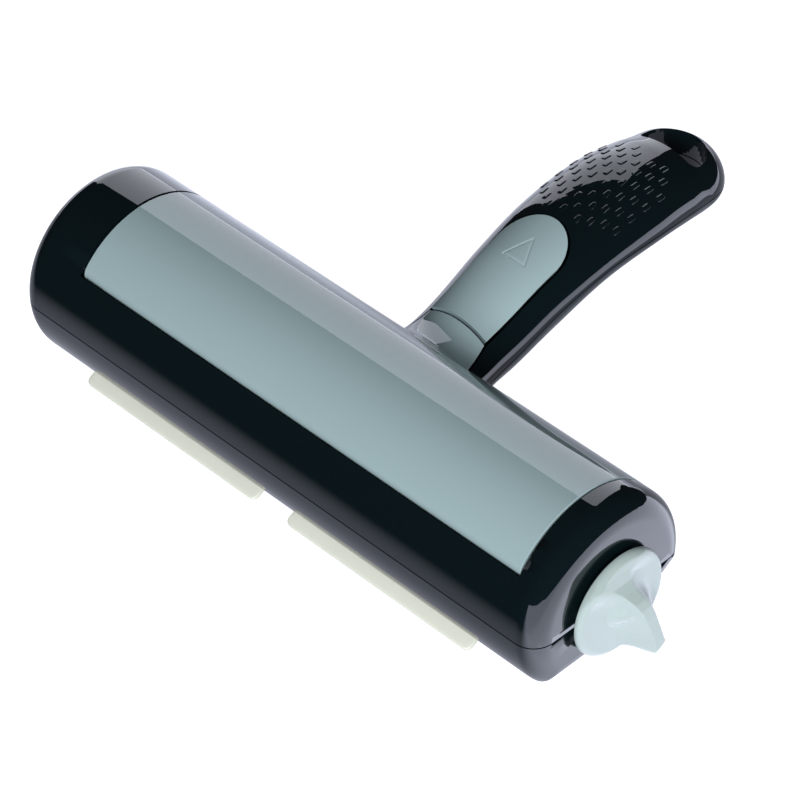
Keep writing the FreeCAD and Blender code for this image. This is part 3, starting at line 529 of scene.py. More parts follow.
def soften(piece: bpy.types.Object, width: float, steps: int = 3) -> None:
    """Rounds a piece's hard edges, in millimetres, its flat faces staying flat."""
    bevel = piece.modifiers.new("soft_edges", "BEVEL")
    bevel.width = width * MM
    bevel.segments = steps
    bevel.limit_method = "ANGLE"
    bevel.angle_limit = BEVEL_ANGLE
    bevel.use_clamp_overlap = True
    bevel.harden_normals = True


# ---- shared forms of the casing ----

# distance out, height of the widest line, half width, height above that line, depth below it
HANDLE_ROWS = np.array([
    (20.0, -1.1, 24.0, 18.4, 9.5), (22.0, -1.1, 21.0, 16.8, 9.0), (24.5, -1.1, 18.2, 14.7, 8.4),
    (28.0, -1.0, 16.0, 12.9, 7.9), (33.0, 0.2, 15.0, 11.3, 8.0), (38.0, 1.9, 14.7, 11.0, 9.1),
    (46.0, 4.8, 15.0, 10.8, 11.0), (60.0, 10.8, 15.8, 10.2, 12.6), (78.0, 15.9, 17.0, 9.9, 10.5),
    (98.0, 17.2, 17.6, 11.5, 9.0), (112.0, 16.3, 16.7, 11.2, 9.2), (119.0, 15.4, 15.9, 10.6, 9.2),
])


@dataclass(frozen=True)
class HandleForm:
    """Outside of the handle: half ellipses above and below its widest line, along a curve outwards."""

    middle_x: float = 5.0
    tip_start: float = 119.0
    tip_length: float = 15.0
    tip_droop: float = 1.0

    def sizes(self, y: Array) -> tuple[Array, Array, Array, Array]:
        """Widest line's height, half width, height above and depth below at distances out.

        Between rows each size follows a cubic Hermite curve whose slopes are those of the chord
        across the neighbouring rows. Past the tip's start the sizes shrink along a quarter ellipse.

        Args:
            y: distances from the barrel's axis.

        Returns:
            Four arrays shaped like y.
        """
        rows = HANDLE_ROWS
        out = np.clip(y, rows[0, 0], rows[-1, 0] - 1e-6)
        low = np.searchsorted(rows[:, 0], out, side="right") - 1
        before, after = np.maximum(low - 1, 0), np.minimum(low + 2, len(rows) - 1)
        high = low + 1
        span = rows[high, 0] - rows[low, 0]
        t = (out - rows[low, 0]) / span
        sizes = []
        for k in range(1, 5):
            slope_low = (rows[high, k] - rows[before, k]) / (rows[high, 0] - rows[before, 0]) * span
            slope_high = (rows[after, k] - rows[low, k]) / (rows[after, 0] - rows[low, 0]) * span
            sizes.append(
                (2 * t**3 - 3 * t**2 + 1) * rows[low, k]
                + (t**3 - 2 * t**2 + t) * slope_low
                + (3 * t**2 - 2 * t**3) * rows[high, k]
                + (t**3 - t**2) * slope_high
            )
        share = np.clip((y - self.tip_start) / self.tip_length, 0.0, 1.0)
        size = np.sqrt(np.maximum(1.0 - share**2, 1e-9))
        line, half, above, below = sizes
        return line - self.tip_droop * share**2, half * size, above * size**0.8, below * size**0.8

    def top(self, x: Array, y: Array, grow: float = 0.0) -> Array:
        """Height of the upper surface, moved out by grow; well below the seam where there is none."""
        line, half, above, _ = self.sizes(y)
        inside = 1.0 - ((x - self.middle_x) / (half + grow)) ** 2
        height = line + (above + grow) * np.sqrt(np.maximum(inside, 0.0))
        before = np.maximum(HANDLE_ROWS[0, 0] - y, 0.0)
        return np.where(inside > 0.0, height, line - 10.0) - 0.9 * before - 0.2 * before**2

    def point(self, turn: Array, y: Array, grow: float = 0.0) -> Array:
        """Points on the outside: turn 0 at +X on the seam, a quarter turn at the top."""
        line, half, above, below = self.sizes(y)
        height = np.where(np.sin(turn) > 0.0, above, below) + grow
        x = self.middle_x + (half + grow) * np.cos(turn)
        return np.stack([x, y + 0.0 * turn, line + height * np.sin(turn)], axis=-1)

    def level(self, points: Array) -> Array:
        """Value of the section's ellipse equation at each point: 1 on the outside."""
        line, half, above, below = self.sizes(points[:, 1])
        height = np.where(points[:, 2] > line, above, below)
        return ((points[:, 0] - self.middle_x) / half) ** 2 + ((points[:, 2] - line) / height) ** 2

    def normal(self, points: Array) -> Array:
        """Outward direction at points near the surface, from the slope of its ellipse equation."""
        steps = 0.02 * np.eye(3)
        slopes = [self.level(points + step) - self.level(points - step) for step in steps]
        found = np.stack(slopes, axis=-1)
        return found / np.maximum(np.linalg.norm(found, axis=-1, keepdims=True), 1e-12)


HANDLE = HandleForm()
# distance out and half width of the lid's tongue
TONGUE_ROWS = (
    (21.5, 19.4), (22.0, 18.0), (22.5, 16.9), (23.0, 16.1), (24.0, 14.8), (25.0, 13.9), (26.0, 13.2),
    (27.0, 12.65), (28.0, 12.25), (29.0, 11.95), (31.0, 11.45), (34.0, 10.75), (37.5, 10.0),
)


@dataclass
class Casing:
    """Both halves of the casing: barrel ends, front, underside and handle."""

    tip_limit: float = 133.6
    root_limit: float = 21.5
    smooth_angle: float = 32.0
    seam_height: float = -1.1
    flat_seam_to: float = 28.0
    seam_reach: float = 0.14
    seam_draw: float = 0.1
    merge_distance: float = 0.002
    barrel_clear: float = 27.7
    level_slack: float = 0.06
    same_way: float = 0.9

    def build(self) -> None:
        """Makes both halves and the grip pattern."""
        for node in ("casing_upper", "casing_lower"):
            self.half(node)
        GripPattern().build()

    def half(self, node: str) -> None:
        """One half: a merged copy of its CAD shape that takes true surface directions on the handle.

        Args:
            node: the CAD node it stands for.
        """
        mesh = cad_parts[node].data.copy()
        mesh.name = node + "_skin"
        shaped = bmesh.new()
        shaped.from_mesh(mesh)
        bmesh.ops.remove_doubles(shaped, verts=shaped.verts, dist=self.merge_distance * MM)
        shaped.to_mesh(mesh)
        shaped.free()
        self.open_seam(mesh, 1.0 if node == "casing_upper" else -1.0)
        mesh.polygons.foreach_set("use_smooth", np.ones(len(mesh.polygons), bool))
        mesh.set_sharp_from_angle(angle=math.radians(self.smooth_angle))
        self.true_normals(mesh)
        made = ride_piece(mesh.name, mesh, Body.CASING, FINISHES.casing)
        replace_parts(made, node)

    def open_seam(self, mesh: bpy.types.Mesh, side: float) -> None:
        """Draws the rim along the seam back a little, which leaves the fine dark line between the halves.

        Args:
            mesh: the merged mesh, in metres.
            side: 1 for the upper half, -1 for the lower.
        """
        points = read(mesh.vertices, "co", 3)
        y, z = points[:, 1] / MM, points[:, 2] / MM
        seam = np.where(y > self.flat_seam_to, HANDLE.sizes(y)[0], self.seam_height)
        points[np.abs(z - seam) < self.seam_reach, 2] += side * self.seam_draw * MM
        mesh.vertices.foreach_set("co", points.ravel())

    def true_normals(self, mesh: bpy.types.Mesh) -> None:
        """Gives corners on the handle's outside the form's own directions, for smooth reflections.

        A face counts as outside when its corners lie on the ellipse equation and it looks the same way.

        Args:
            mesh: the merged mesh, in metres.
        """
        points = read(mesh.vertices, "co", 3) / MM - np.array([MIDDLE_X, 0.0, 0.0])
        normals = read(mesh.corner_normals, "vector", 3)
        starts = read(mesh.polygons, "loop_start", kind=int)
        sizes = read(mesh.polygons, "loop_total", kind=int)
        face_of = np.repeat(np.arange(len(sizes)), sizes)
        looks = read(mesh.polygons, "normal", 3)[face_of]
        at = points[read(mesh.loops, "vertex_index", kind=int)]
        form = HANDLE.normal(at)
        near = np.abs(HANDLE.level(at) - 1.0) < self.level_slack
        near &= (at[:, 1] > self.root_limit) & (at[:, 1] < self.tip_limit)
        near &= (form * looks).sum(axis=1) > self.same_way
        near &= np.linalg.norm(at[:, 1:], axis=1) > self.barrel_clear
        whole = np.minimum.reduceat(near.astype(int), starts)[face_of] > 0
        normals[whole] = form[whole]
        mesh.normals_split_custom_set(normals.tolist())


@dataclass
class GripPattern:
    """Staggered columns of small raised blocks on the grip, each with a sloping rim."""

    pitch: float = 5.72
    length: float = 1.45
    width: float = 0.82
    rise: float = 0.24
    slope: float = 0.22
    sink: float = 0.15
    roundness: float = 0.4
    corners: int = 16
    # a column's place across the handle, its first block's distance out, and how many blocks it has
    columns: tuple[tuple[float, float, int], ...] = (
        (-14.3, 85.2, 5), (-11.6, 82.2, 5), (-8.9, 80.3, 6), (-6.4, 77.9, 6), (-3.9, 81.2, 6),
        (-1.3, 78.6, 6), (1.4, 81.0, 5), (4.2, 78.2, 6), (7.2, 80.1, 6), (10.1, 82.4, 5), (13.1, 83.9, 4),
    )

    def build(self) -> None:
        """Lays every block on the handle's surface, worked out as one array of points.

        A block's outline is a rounded rectangle about its centre. Its rings, from the foot over the
        sloping rim to the top, step in and up, and the last one closes on the centre.
        """
        counts = [column[2] for column in self.columns]
        across, first, _ = np.repeat(np.array(self.columns), counts, axis=0).T
        place = np.concatenate([np.arange(count) for count in counts])
        centre_y = (first + self.pitch * place)[:, None, None]
        turn = (np.arange(self.corners) + 0.5) * 2.0 * np.pi / self.corners
        unit_y, unit_x = squared(np.cos(turn), self.roundness), squared(np.sin(turn), self.roundness)
        insets = np.array([-0.05, 0.0, self.slope, self.slope + 0.12, self.width])
        lifts = np.array([-self.sink, 0.0, 0.94 * self.rise, self.rise, self.rise])[:, None]
        half_length = np.append(self.length - insets[:-1], 0.0)[:, None]
        half_width = np.append(self.width - insets[:-1], 0.0)[:, None]
        _, half, above, _ = HANDLE.sizes(centre_y)
        middle = across[:, None, None] / half
        turned = np.arccos(middle)
        stretch = np.hypot(half * np.sin(turned), above * np.cos(turned))
        y = centre_y + half_length * unit_y
        points = HANDLE.point(turned - half_width * unit_x / stretch, y, lifts + 0.0 * y)
        surface = Patch.grid(points, wrap=True)
        make_piece("grip_blocks", surface, Body.CASING, FINISHES.casing)


@dataclass
class Lid:
    """Lid of the hair bin, with its hinge bead, the tongue over the neck, and the latch hook."""

    radius: float = 27.5
    wall_thickness: float = 2.0
    x_low: float = -74.2
    x_high: float = 84.3
    rear_angle: float = 36.6
    hinge_angle: float = 142.6
    bead_radius: float = 2.2
    tongue_end: float = 37.5
    tongue_rows: tuple[tuple[float, float], ...] = TONGUE_ROWS
    roll_angle: float = 139.1
    roll_radius: float = 3.6
    roll_turn: float = 80.0
    blend: float = 0.9
    neck_from: float = 12.0
    arc_steps: int = 90
    roll_steps: int = 18
    tongue_steps: int = 60

    def skin_height(self, x: Array, y: Array) -> Array:
        """Barrel and neck run together: half of (a + b + root of ((a - b) squared + k squared))."""
        barrel = np.sqrt(np.maximum(self.radius**2 - y**2, 0.0))
        neck = HANDLE.top(x, y)
        return 0.5 * (barrel + neck + np.sqrt((barrel - neck) ** 2 + self.blend**2))

    def tongue_width(self, y: Array) -> Array:
        """Half width of the tongue: widening a little towards the barrel, then flaring out to its root."""
        places, widths = np.array(self.tongue_rows).T
        return np.interp(y, places, widths)

    def build(self) -> None:
        """Makes the lid in one piece."""
        root_y = self.radius * math.cos(math.radians(self.rear_angle))
        root_half = float(self.tongue_width(np.array(root_y)))
        across = np.linspace(-1.0, 1.0, 57)
        left = np.linspace(self.x_low, HANDLE.middle_x - root_half, 42)[:-1]
        right = np.linspace(HANDLE.middle_x + root_half, self.x_high, 42)[1:]
        xs = np.concatenate([left, HANDLE.middle_x + root_half * across, right])
        angles = np.radians(np.linspace(self.roll_angle, self.rear_angle, self.arc_steps))
        orbit = self.radius - self.roll_radius
        front = math.radians(self.roll_angle)
        roll = np.radians(np.linspace(self.roll_turn, 0.0, self.roll_steps + 1)[:-1]) + front
        roll_y = orbit * math.cos(front) + self.roll_radius * np.cos(roll)
        roll_z = orbit * math.sin(front) + self.roll_radius * np.sin(roll)
        y = np.concatenate([roll_y, self.radius * np.cos(angles)])[:, None] + 0.0 * xs[None, :]
        x = xs[None, :] + 0.0 * y
        arc_z = np.concatenate([roll_z, self.radius * np.sin(angles)])[:, None]
        z = np.where(y > self.neck_from, self.skin_height(x, y), arc_z)
        sheet = Patch.grid(np.stack([x, y, z], axis=-1))
        out = np.linspace(root_y, self.tongue_end, self.tongue_steps)[:, None]
        half = self.tongue_width(out)
        half[0] = root_half
        tx = HANDLE.middle_x + half * across[None, :]
        ty = out + 0.0 * tx
        tongue = Patch.grid(np.stack([tx, ty, self.skin_height(tx, ty)], axis=-1))
        lid = make_piece("lid_shell", Patch.joined([sheet, tongue]), Body.LID, FINISHES.sage)
        wall(lid, self.wall_thickness)
        soften(lid, 0.6, 4)
        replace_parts(lid, "bin_lid")
        self.bead()
        self.hook()

    def bead(self) -> None:
        """Round hinge bead along the lid's front edge: a circle carried along X."""
        orbit = self.radius - self.bead_radius
        angle = math.radians(self.hinge_angle)
        turn = np.linspace(0.0, 2.0 * np.pi, 40, endpoint=False)
        xs = np.array([self.x_low + 0.3, self.x_low + 0.5, self.x_high - 0.5, self.x_high - 0.3])
        radius = self.bead_radius - np.array([1.0, 0.7, 0.7, 1.0])
        y = orbit * math.cos(angle) + radius[:, None] * np.cos(turn)
        z = orbit * math.sin(angle) + radius[:, None] * np.sin(turn)
        rings = np.stack([xs[:, None] + 0.0 * turn, y, z], axis=-1)
        make_piece("lid_hinge_bead", capped_tube(rings), Body.LID, FINISHES.sage)

    def hook(self) -> None:
        """Latch hook under the tongue, with its barb."""
        shank = Patch.box((1.0, 33.0, 3.6), (9.0, 34.6, 10.2))
        barb = Patch.box((1.0, 33.8, 3.6), (9.0, 35.8, 5.0))
        hook = make_piece("lid_hook", Patch.joined([shank, barb]), Body.LID, FINISHES.sage)
        soften(hook, 0.25, 2)


@dataclass
class ReleaseButton:
    """Rocking button with a round far end and a triangle engraved in it."""

    near: float = 38.1
    centre_y: float = 63.6
    radius: float = 10.6
    near_half: float = 10.0
    proud: float = 0.5
    thickness: float = 2.3
    arrow_base: float = 58.5
    arrow_tip: float = 66.0
    arrow_half: float = 3.85
    groove: float = 0.42
    groove_depth: float = 0.22
    end_width: float = 0.001
    straight_steps: int = 134
    round_steps: int = 56
    across_steps: int = 121

    def half_width(self, y: Array) -> Array:
        """Half width: straight sides that widen slightly, then a half circle."""
        share = (y - self.near) / (self.centre_y - self.near)
        straight = self.near_half + (self.radius - self.near_half) * share
        round_end = np.sqrt(np.maximum(self.radius**2 - (y - self.centre_y) ** 2, 0.0))
        return np.where(y < self.centre_y, straight, round_end)

    def engraving(self, x: Array, y: Array) -> Array:
        """Depth of the triangle's outline: a rounded groove round each edge, from the distance to it."""
        base = [(-self.arrow_half, self.arrow_base), (self.arrow_half, self.arrow_base)]
        corners = np.array([*base, (0.0, self.arrow_tip)])
        distance = np.full(x.shape, 99.0)
        for a, b in zip(corners, np.roll(corners, -1, axis=0)):
            along = b - a
            share = ((x - a[0]) * along[0] + (y - a[1]) * along[1]) / (along @ along)
            share = np.clip(share, 0.0, 1.0)
            gap = np.hypot(x - a[0] - share * along[0], y - a[1] - share * along[1])
            distance = np.minimum(distance, gap)
        return self.groove_depth * 0.5 * (1.0 + np.cos(np.pi * np.clip(distance / self.groove, 0.0, 1.0)))

    def build(self) -> None:
        """Makes the button's curved cap."""
        straight = np.linspace(self.near, self.centre_y, self.straight_steps)
        turn = np.pi / 2 * np.linspace(0.0, 1.0, self.round_steps)[1:]
        y = np.concatenate([straight, self.centre_y + self.radius * np.sin(turn)])
        y[-1] -= self.end_width
        local_x = self.half_width(y)[:, None] * np.linspace(-1.0, 1.0, self.across_steps)
        full_y = y[:, None] + 0.0 * local_x
        height = HANDLE.top(HANDLE.middle_x + local_x, full_y, self.proud)
        depth = self.engraving(local_x, full_y)
        points = np.stack([HANDLE.middle_x + local_x, full_y, height - depth], axis=-1)
        button = make_piece("button_cap", Patch.grid(points), Body.BUTTON, FINISHES.sage)
        wall(button, self.thickness)
        soften(button, 0.5, 4)
        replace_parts(button, "release_button")


@dataclass
class Knob:
    """Finger knob: a round base and a winding ridge between two scoops, rising to a tail."""

    radius: float = 15.3
    foot_x: float = 96.4
    rim_round: float = 1.9
    floor_height: float = 1.9
    wall_reach: float = 5.2
    wall_widening: float = 2.2
    wall_power: float = 3.0
    edge_softness: float = 1.0
    hub_height: float = 6.0
    hub_fall: float = 0.12
    hub_blend: float = 0.4
    foot: float = 0.4
    around: int = 300
    rings: int = 100
    # height of the crest (second) at places up the knob (first)
    crest: tuple[tuple[float, float], ...] = (
        (-15.3, 10.4), (-14.0, 10.4), (-8.0, 9.7), (-2.0, 8.8), (1.4, 7.9), (3.5, 6.8), (6.5, 4.9),
        (9.2, 3.4), (12.0, 2.5), (15.3, 2.0),
    )
    # outline of the ridge's flat crest, Y and Z, the tail first
    outline: tuple[tuple[float, float], ...] = (
        (4.9, -17.0), (3.3, -8.0), (1.9, -3.0), (0.3, 1.4), (-0.7, 3.6), (-2.8, 6.7), (-5.4, 9.2),
        (-8.6, 10.7), (-14.0, 12.0), (-12.0, 18.0), (12.0, 18.0), (9.0, 14.2), (4.2, 13.2), (1.4, 12.4),
        (0.4, 11.0), (0.4, 8.6), (1.5, 6.0), (3.0, 2.9), (4.3, -1.0), (6.2, -8.0), (8.6, -17.0),
    )

    def clearance(self, y: Array, z: Array) -> Array:
        """Distance from each point to the crest's outline, nought inside it.

        The distance is the least over the outline's segments; a point is inside when a line from it
        along Y crosses the outline an odd number of times.

        Args:
            y: places along Y.
            z: places along Z.

        Returns:
            Distances in millimetres, shaped like y.
        """
        corners = np.array(self.outline)
        start, end = corners, np.roll(corners, -1, axis=0)
        step = end - start
        at = np.stack([y, z], axis=-1)[..., None, :]
        share = np.clip(((at - start) * step).sum(axis=-1) / (step**2).sum(axis=-1), 0.0, 1.0)
        gap = np.linalg.norm(at - (start + share[..., None] * step), axis=-1).min(axis=-1)
        level = z[..., None]
        spans = (start[:, 1] > level) != (end[:, 1] > level)
        rise = np.where(np.abs(step[:, 1]) < 1e-9, 1e-9, step[:, 1])
        crossing = start[:, 0] + (level - start[:, 1]) / rise * step[:, 0]
        inside = (spans & (y[..., None] < crossing)).sum(axis=-1) % 2 == 1
        return np.where(inside, 0.0, gap)

    def height(self, y: Array, z: Array) -> Array:
        """Height over the foot: crest and scoop run together softly, then rounded down at the rim.

        A scoop's wall falls from the crest as (1 - distance over reach) to a power. A low dome keeps
        the axle's end covered. The rim drops as a quarter circle.

        Args:
            y: places along Y.
            z: places along Z.

        Returns:
            Heights in millimetres.
        """
        crest = np.interp(z, *np.array(self.crest).T)
        reach = self.wall_reach + self.wall_widening * np.clip(1.0 + z / 14.0, 0.0, 1.0)
        gap = self.clearance(y, z)
        slope = np.clip(1.0 - np.sqrt(gap**2 + self.edge_softness**2) / reach, 0.0, 1.0) ** self.wall_power
        top = np.clip(1.0 - self.edge_softness / reach, 0.0, 1.0) ** self.wall_power
        height = self.floor_height + (crest - self.floor_height) * slope / top
        out = np.hypot(y, z)
        hub = self.hub_height - self.hub_fall * out**2
        height = 0.5 * (height + hub + np.sqrt((height - hub) ** 2 + self.hub_blend**2))
        share = np.clip((out - self.radius + self.rim_round) / self.rim_round, 0.0, 1.0)
        return height - self.rim_round * (1.0 - np.sqrt(1.0 - share**2))

    def build(self) -> None:
        """Makes the knob: a polar grid of heights, drawn down round the rim to a flat foot."""
        turn = np.linspace(0.0, 2.0 * np.pi, self.around, endpoint=False)
        ring_y, ring_z = np.cos(turn), np.sin(turn)
        share = np.append(0.0, 1.0 - 0.94 * np.linspace(1.0, 0.0, self.rings) ** 1.35)
        out = self.radius * share[:, None]
        y, z = out * ring_y, out * ring_z
        h = self.height(y, z)
        h[0] = h[0].mean()
        under = ((self.radius, 0.0), (self.radius - self.foot, -self.foot), (0.0, -self.foot))
        y = np.concatenate([y, [radius * ring_y for radius, _ in under]])
        z = np.concatenate([z, [radius * ring_z for radius, _ in under]])
        h = np.concatenate([np.maximum(h, 0.02), [0.0 * ring_y + drop for _, drop in under]])
        surface = Patch.grid(np.stack([self.foot_x + self.foot + h, y, z], axis=-1), wrap=True)
        knob = make_piece("finger_knob", surface, Body.DRUM, FINISHES.mint)
        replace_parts(knob, "knob")


@dataclass
class Strips:
    """Two rubber strips along the lower front edge, each a blade with rounded corners."""

    spans: tuple[tuple[float, float], ...] = ((-73.3, -7.7), (4.1, 69.7))
    tip: tuple[float, float] = (-24.2, -19.9)
    slope: float = 28.0
    depth: float = 7.0
    wall: float = 1.3
    corner: float = 1.6
    straight_from: float = 5.0

    def build(self) -> None:
        """Makes each strip in place of its CAD node."""
        for (x_low, x_high), node in zip(self.spans, ("strip_left", "strip_right")):
            blade = self.blade(x_low, x_high)
            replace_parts(make_piece(node + "_blade", blade, Body.CASING, FINISHES.strip), node)

    def blade(self, x_low: float, x_high: float) -> Patch:
        """Closed blade: a rounded bar section carried along X, its tip corners cut to a quarter circle.

        Args:
            x_low: low end along X.
            x_high: high end along X.

        Returns:
            The strip's surface.
        """
        slope = math.radians(self.slope)
        down = np.array([-math.cos(slope), -math.sin(slope)])
        side = np.array([-down[1], down[0]])
        turn = np.linspace(0.0, 2.0 * np.pi, 48, endpoint=False)
        thick = 0.5 * self.wall * squared(np.sin(turn), 0.35)
        reach = 0.5 * self.depth * squared(np.cos(turn), 0.18)
        ends = np.append(self.corner * (1.0 - np.cos(np.linspace(0.0, np.pi / 2, 9))), self.straight_from)
        cut = self.corner - np.sqrt(np.maximum(self.corner**2 - (self.corner - ends) ** 2, 0.0))
        cut[-1] = 0.0
        xs = np.concatenate([x_low + ends, (x_high - ends)[::-1]])
        cuts = np.concatenate([cut, cut[::-1]])
        far = np.where(reach > 0.0, reach * (self.depth - 2.0 * cuts[:, None]) / self.depth, reach)
        middle = np.array(self.tip) - 0.5 * self.depth * down
        y, z = (middle[k] + far * down[k] + thick * side[k] for k in (0, 1))
        return capped_tube(np.stack([xs[:, None] + 0.0 * y, y, z], axis=-1))


@dataclass
class FabricPads:
    """Two pads of short directional pile, glued round the drum."""

    x_low: float = -71.5
    x_high: float = 68.0
    radius: float = 21.0
    core_radius: float = 19.32
    top_angle: float = 12.6
    split: float = 2.9
    backing: float = 0.15
    slack: float = 0.12
    edge_round: float = 1.0

    def build(self) -> None:
        """Makes both pads in place of their CAD nodes."""
        self.pad("drum_pad_rear", -90.0 + self.split, self.top_angle)
        self.pad("drum_pad_front", 180.0 - self.top_angle, 270.0 - self.split)

    def pad(self, node: str, low: float, high: float) -> None:
        """One pad: a curved sheet with soft edges and a slight unevenness of the pile.

        The radius is the drum's plus the pile's height, which falls off within a millimetre of each
        edge and varies by three sine waves that don't share a period.

        Args:
            node: the CAD node it stands for.
            low: first angle, in degrees from +Y.
            high: last angle.
        """
        angles = np.radians(np.linspace(low, high, 150))[:, None]
        xs = np.linspace(self.x_low, self.x_high, 260)[None, :]
        arc = angles * self.radius
        edge = np.minimum(np.minimum(xs - self.x_low, self.x_high - xs),
                          np.minimum(arc - arc[0], arc[-1] - arc))
        share = np.clip(edge / self.edge_round, 0.0, 1.0)
        fall = np.sqrt(share * (2.0 - share))
        uneven = 0.05 * np.sin(xs * 1.9 + 3.0 * np.sin(arc * 0.7)) + 0.04 * np.sin(arc * 2.3 + xs * 0.53)
        pile = self.radius - self.slack - self.core_radius
        height = pile * (self.backing + (1.0 - self.backing) * fall) + uneven * fall
        sheets = [
            np.stack([xs + 0.0 * at, at * np.cos(angles), at * np.sin(angles)], axis=-1)
            for at in (self.core_radius + height, self.core_radius + 0.0 * height)
        ]
        rims = [np.concatenate([s[0], s[1:, -1], s[-1, -2::-1], s[-2:0:-1, 0]]) for s in sheets]
        sides = Patch.grid(np.stack(rims), wrap=True)
        surface = Patch.joined([Patch.grid(np.stack(sheets)), sides])
        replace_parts(make_piece(node + "_pile", surface, Body.DRUM, FINISHES.nap), node)


@dataclass
class HiddenWorks:
    """CAD nodes whose shape is right as it is, and the finish each one takes."""

    finishes: tuple[tuple[Finish, tuple[str, ...]], ...] = (
        (FINISHES.steel, (
            "lid_hinge_pin_left", "lid_hinge_pin_right", "button_pivot_pin", "drum_axle", "drum_stop_pin",
        )),
        (FINISHES.spring, ("lid_spring", "button_spring", "axle_clip")),
        (FINISHES.inner, ("drum_core", "drum_hub_left", "drum_hub_right")),
        (FINISHES.nylon, ("axle_bush_left", "axle_bush_right", "knob_washer")),
        (FINISHES.strip, ("wiper_front", "wiper_rear")),
        (FINISHES.zinc, ("casing_screws",)),
    )

    def build(self) -> None:
        """Dresses each node."""
        for finish, nodes in self.finishes:
            for node in nodes:
                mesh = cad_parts[node].data
                for index in range(len(mesh.materials)):
                    mesh.materials[index] = finish.material()
                LOG.info("%s: %s", node, finish.name)


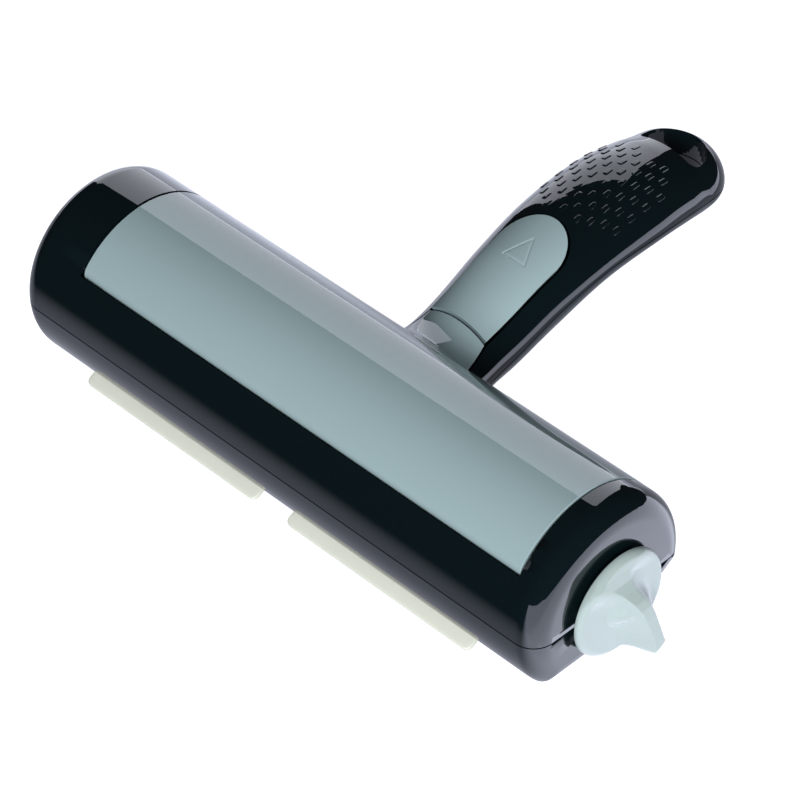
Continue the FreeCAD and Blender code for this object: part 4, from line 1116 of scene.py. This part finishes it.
@dataclass
class Studio:
    """Floor, lights and camera."""

    camera_mm: tuple[float, float, float] = (527.68, -503.79, 650.42)
    target_mm: tuple[float, float, float] = (21.62, 0.0, 18.47)
    lens: float = 170.4
    surround_strength: float = 0.03
    floor_glow: float = 1.0
    mirror_near: float = 0.6
    mirror_far: float = 0.03
    mirror_behind: float = 0.9
    mirror_right: float = 2.5

    def build(self) -> None:
        """Makes the floor, the lights, the surround and the camera, and shows plain colours as they are."""
        bpy.context.scene.view_settings.view_transform = "Standard"
        self.surround()
        self.floor()
        self.lights()
        self.camera()

    def surround(self) -> None:
        """Dim even light from all round."""
        world = bpy.data.worlds.new("studio")
        world.use_nodes = True
        background = world.node_tree.nodes["Background"]
        background.inputs["Color"].default_value = (0.9, 0.9, 1.0, 1.0)
        background.inputs["Strength"].default_value = self.surround_strength
        bpy.context.scene.world = world

    def floor(self) -> None:
        """Wide pale floor that the roller lies on."""
        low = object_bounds()[0][2]
        side = np.linspace(-3.0, 3.0, 9)
        x, y = np.meshgrid(side, side)
        patch = Patch.grid(np.stack([x, y, np.full_like(x, low - 0.0003)], axis=-1))
        mesh = bpy.data.meshes.new("floor")
        mesh.from_pydata(patch.points.tolist(), [], patch.faces.tolist())
        mesh.materials.append(self.floor_paper())
        show("floor", mesh)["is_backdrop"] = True

    def floor_paper(self) -> bpy.types.Material:
        """White paper with a little light of its own, dressed for what each kind of ray sees.

        Gloss sees it bright past the knob, fairly bright behind the barrel, and dim far in front.

        Returns:
            The floor's material.
        """
        material, graph = blank_material("floor_paper")
        material.cycles.emission_sampling = "NONE"
        paper = graph.add("ShaderNodeBsdfDiffuse", {"Color": (0.55, 0.55, 0.55, 1.0)}).outputs[0]
        lit = graph.add("ShaderNodeEmission", {"Strength": self.floor_glow}).outputs[0]
        both = graph.add("ShaderNodeAddShader", {0: paper, 1: lit}).outputs[0]
        place = graph.add("ShaderNodeTexCoord").outputs["Object"]
        x, y, _ = graph.add("ShaderNodeSeparateXYZ", {0: place}).outputs
        near = graph.math("MULTIPLY", graph.ramp(y, -0.085, -0.045), self.mirror_near)
        behind = graph.math("MULTIPLY", graph.ramp(y, 0.02, 0.1), graph.ramp(x, 0.06, -0.02))
        left = graph.math("ADD", near, self.mirror_far)
        left = graph.math("ADD", left, graph.math("MULTIPLY", behind, self.mirror_behind))
        past_knob = graph.math("MULTIPLY", graph.ramp(x, 0.18, 0.2), self.mirror_right)
        inputs = {"Color": (0.8, 0.84, 1.0, 1.0), "Strength": graph.math("ADD", left, past_knob)}
        mirrored = graph.add("ShaderNodeEmission", inputs).outputs[0]
        rays = graph.add("ShaderNodeLightPath").outputs
        gloss = graph.add("ShaderNodeMixShader", {0: rays["Is Glossy Ray"], 1: paper, 2: mirrored}).outputs[0]
        seen = graph.add("ShaderNodeMixShader", {0: rays["Is Camera Ray"], 1: gloss, 2: both}).outputs[0]
        graph.add("ShaderNodeOutputMaterial", {"Surface": seen})
        return material

    def area(
        self, name: str, place: Triple, target: Triple, size: tuple[float, float], radiance: float,
        colour: Colour = (1.0, 1.0, 1.0), mirrored: bool = True,
    ) -> None:
        """Adds a rectangular soft light.

        Args:
            name: its name.
            place: where it stands, in metres.
            target: what it faces, in metres.
            size: its width and height, in metres.
            radiance: how bright its face is.
            colour: its tint.
            mirrored: whether it only shows in gloss, rather than only giving soft light.
        """
        data = bpy.data.lights.new(name, "AREA")
        data.shape = "RECTANGLE"
        data.size, data.size_y = size
        data.energy = radiance * math.pi * size[0] * size[1]
        data.color = colour
        light = show(name, data)
        light.location = place
        light.rotation_euler = (Vector(target) - Vector(place)).to_track_quat("-Z", "Y").to_euler()
        light.visible_glossy = mirrored
        light.visible_diffuse = not mirrored

    def lights(self) -> None:
        """A softbox behind, whose upper edge is mirrored along the lid, and soft fills from the right."""
        middle = (0.1, 0.03, 0.0)
        self.area("rear_box", (-1.5, 1.2, 0.92), (-1.5, 0.0, 0.92), (2.1, 1.94), 2.3, (0.86, 0.9, 1.0))
        self.area("front_fill", (1.38, -1.36, 0.85), middle, (0.8, 0.8), 26.5, mirrored=False)
        self.area("right_fill", (1.3, 0.5, 0.9), middle, (0.7, 0.7), 2.5, mirrored=False)

    def camera(self) -> None:
        """Long-lens camera at three-quarter height."""
        shift = Vector((MIDDLE_X, 0.0, 0.0))
        place = (Vector(self.camera_mm) + shift) * MM
        target = (Vector(self.target_mm) + shift) * MM
        data = bpy.data.cameras.new("camera")
        data.lens = self.lens
        camera = show("camera", data)
        camera.location = place
        camera.rotation_euler = (target - place).to_track_quat("-Z", "Y").to_euler()
        bpy.context.scene.camera = camera


def main() -> None:
    """Builds every sub-assembly in order."""
    logging.basicConfig(level=logging.INFO, format="%(name)s %(message)s")
    moulded_skin_group()
    nap_group()
    drawn_metal_group()
    for part in (Casing(), Lid(), ReleaseButton(), Knob(), Strips(), FabricPads(), HiddenWorks(), Studio()):
        part.build()
        LOG.info("built %s", type(part).__name__)


if __name__ == "__main__":
    main()
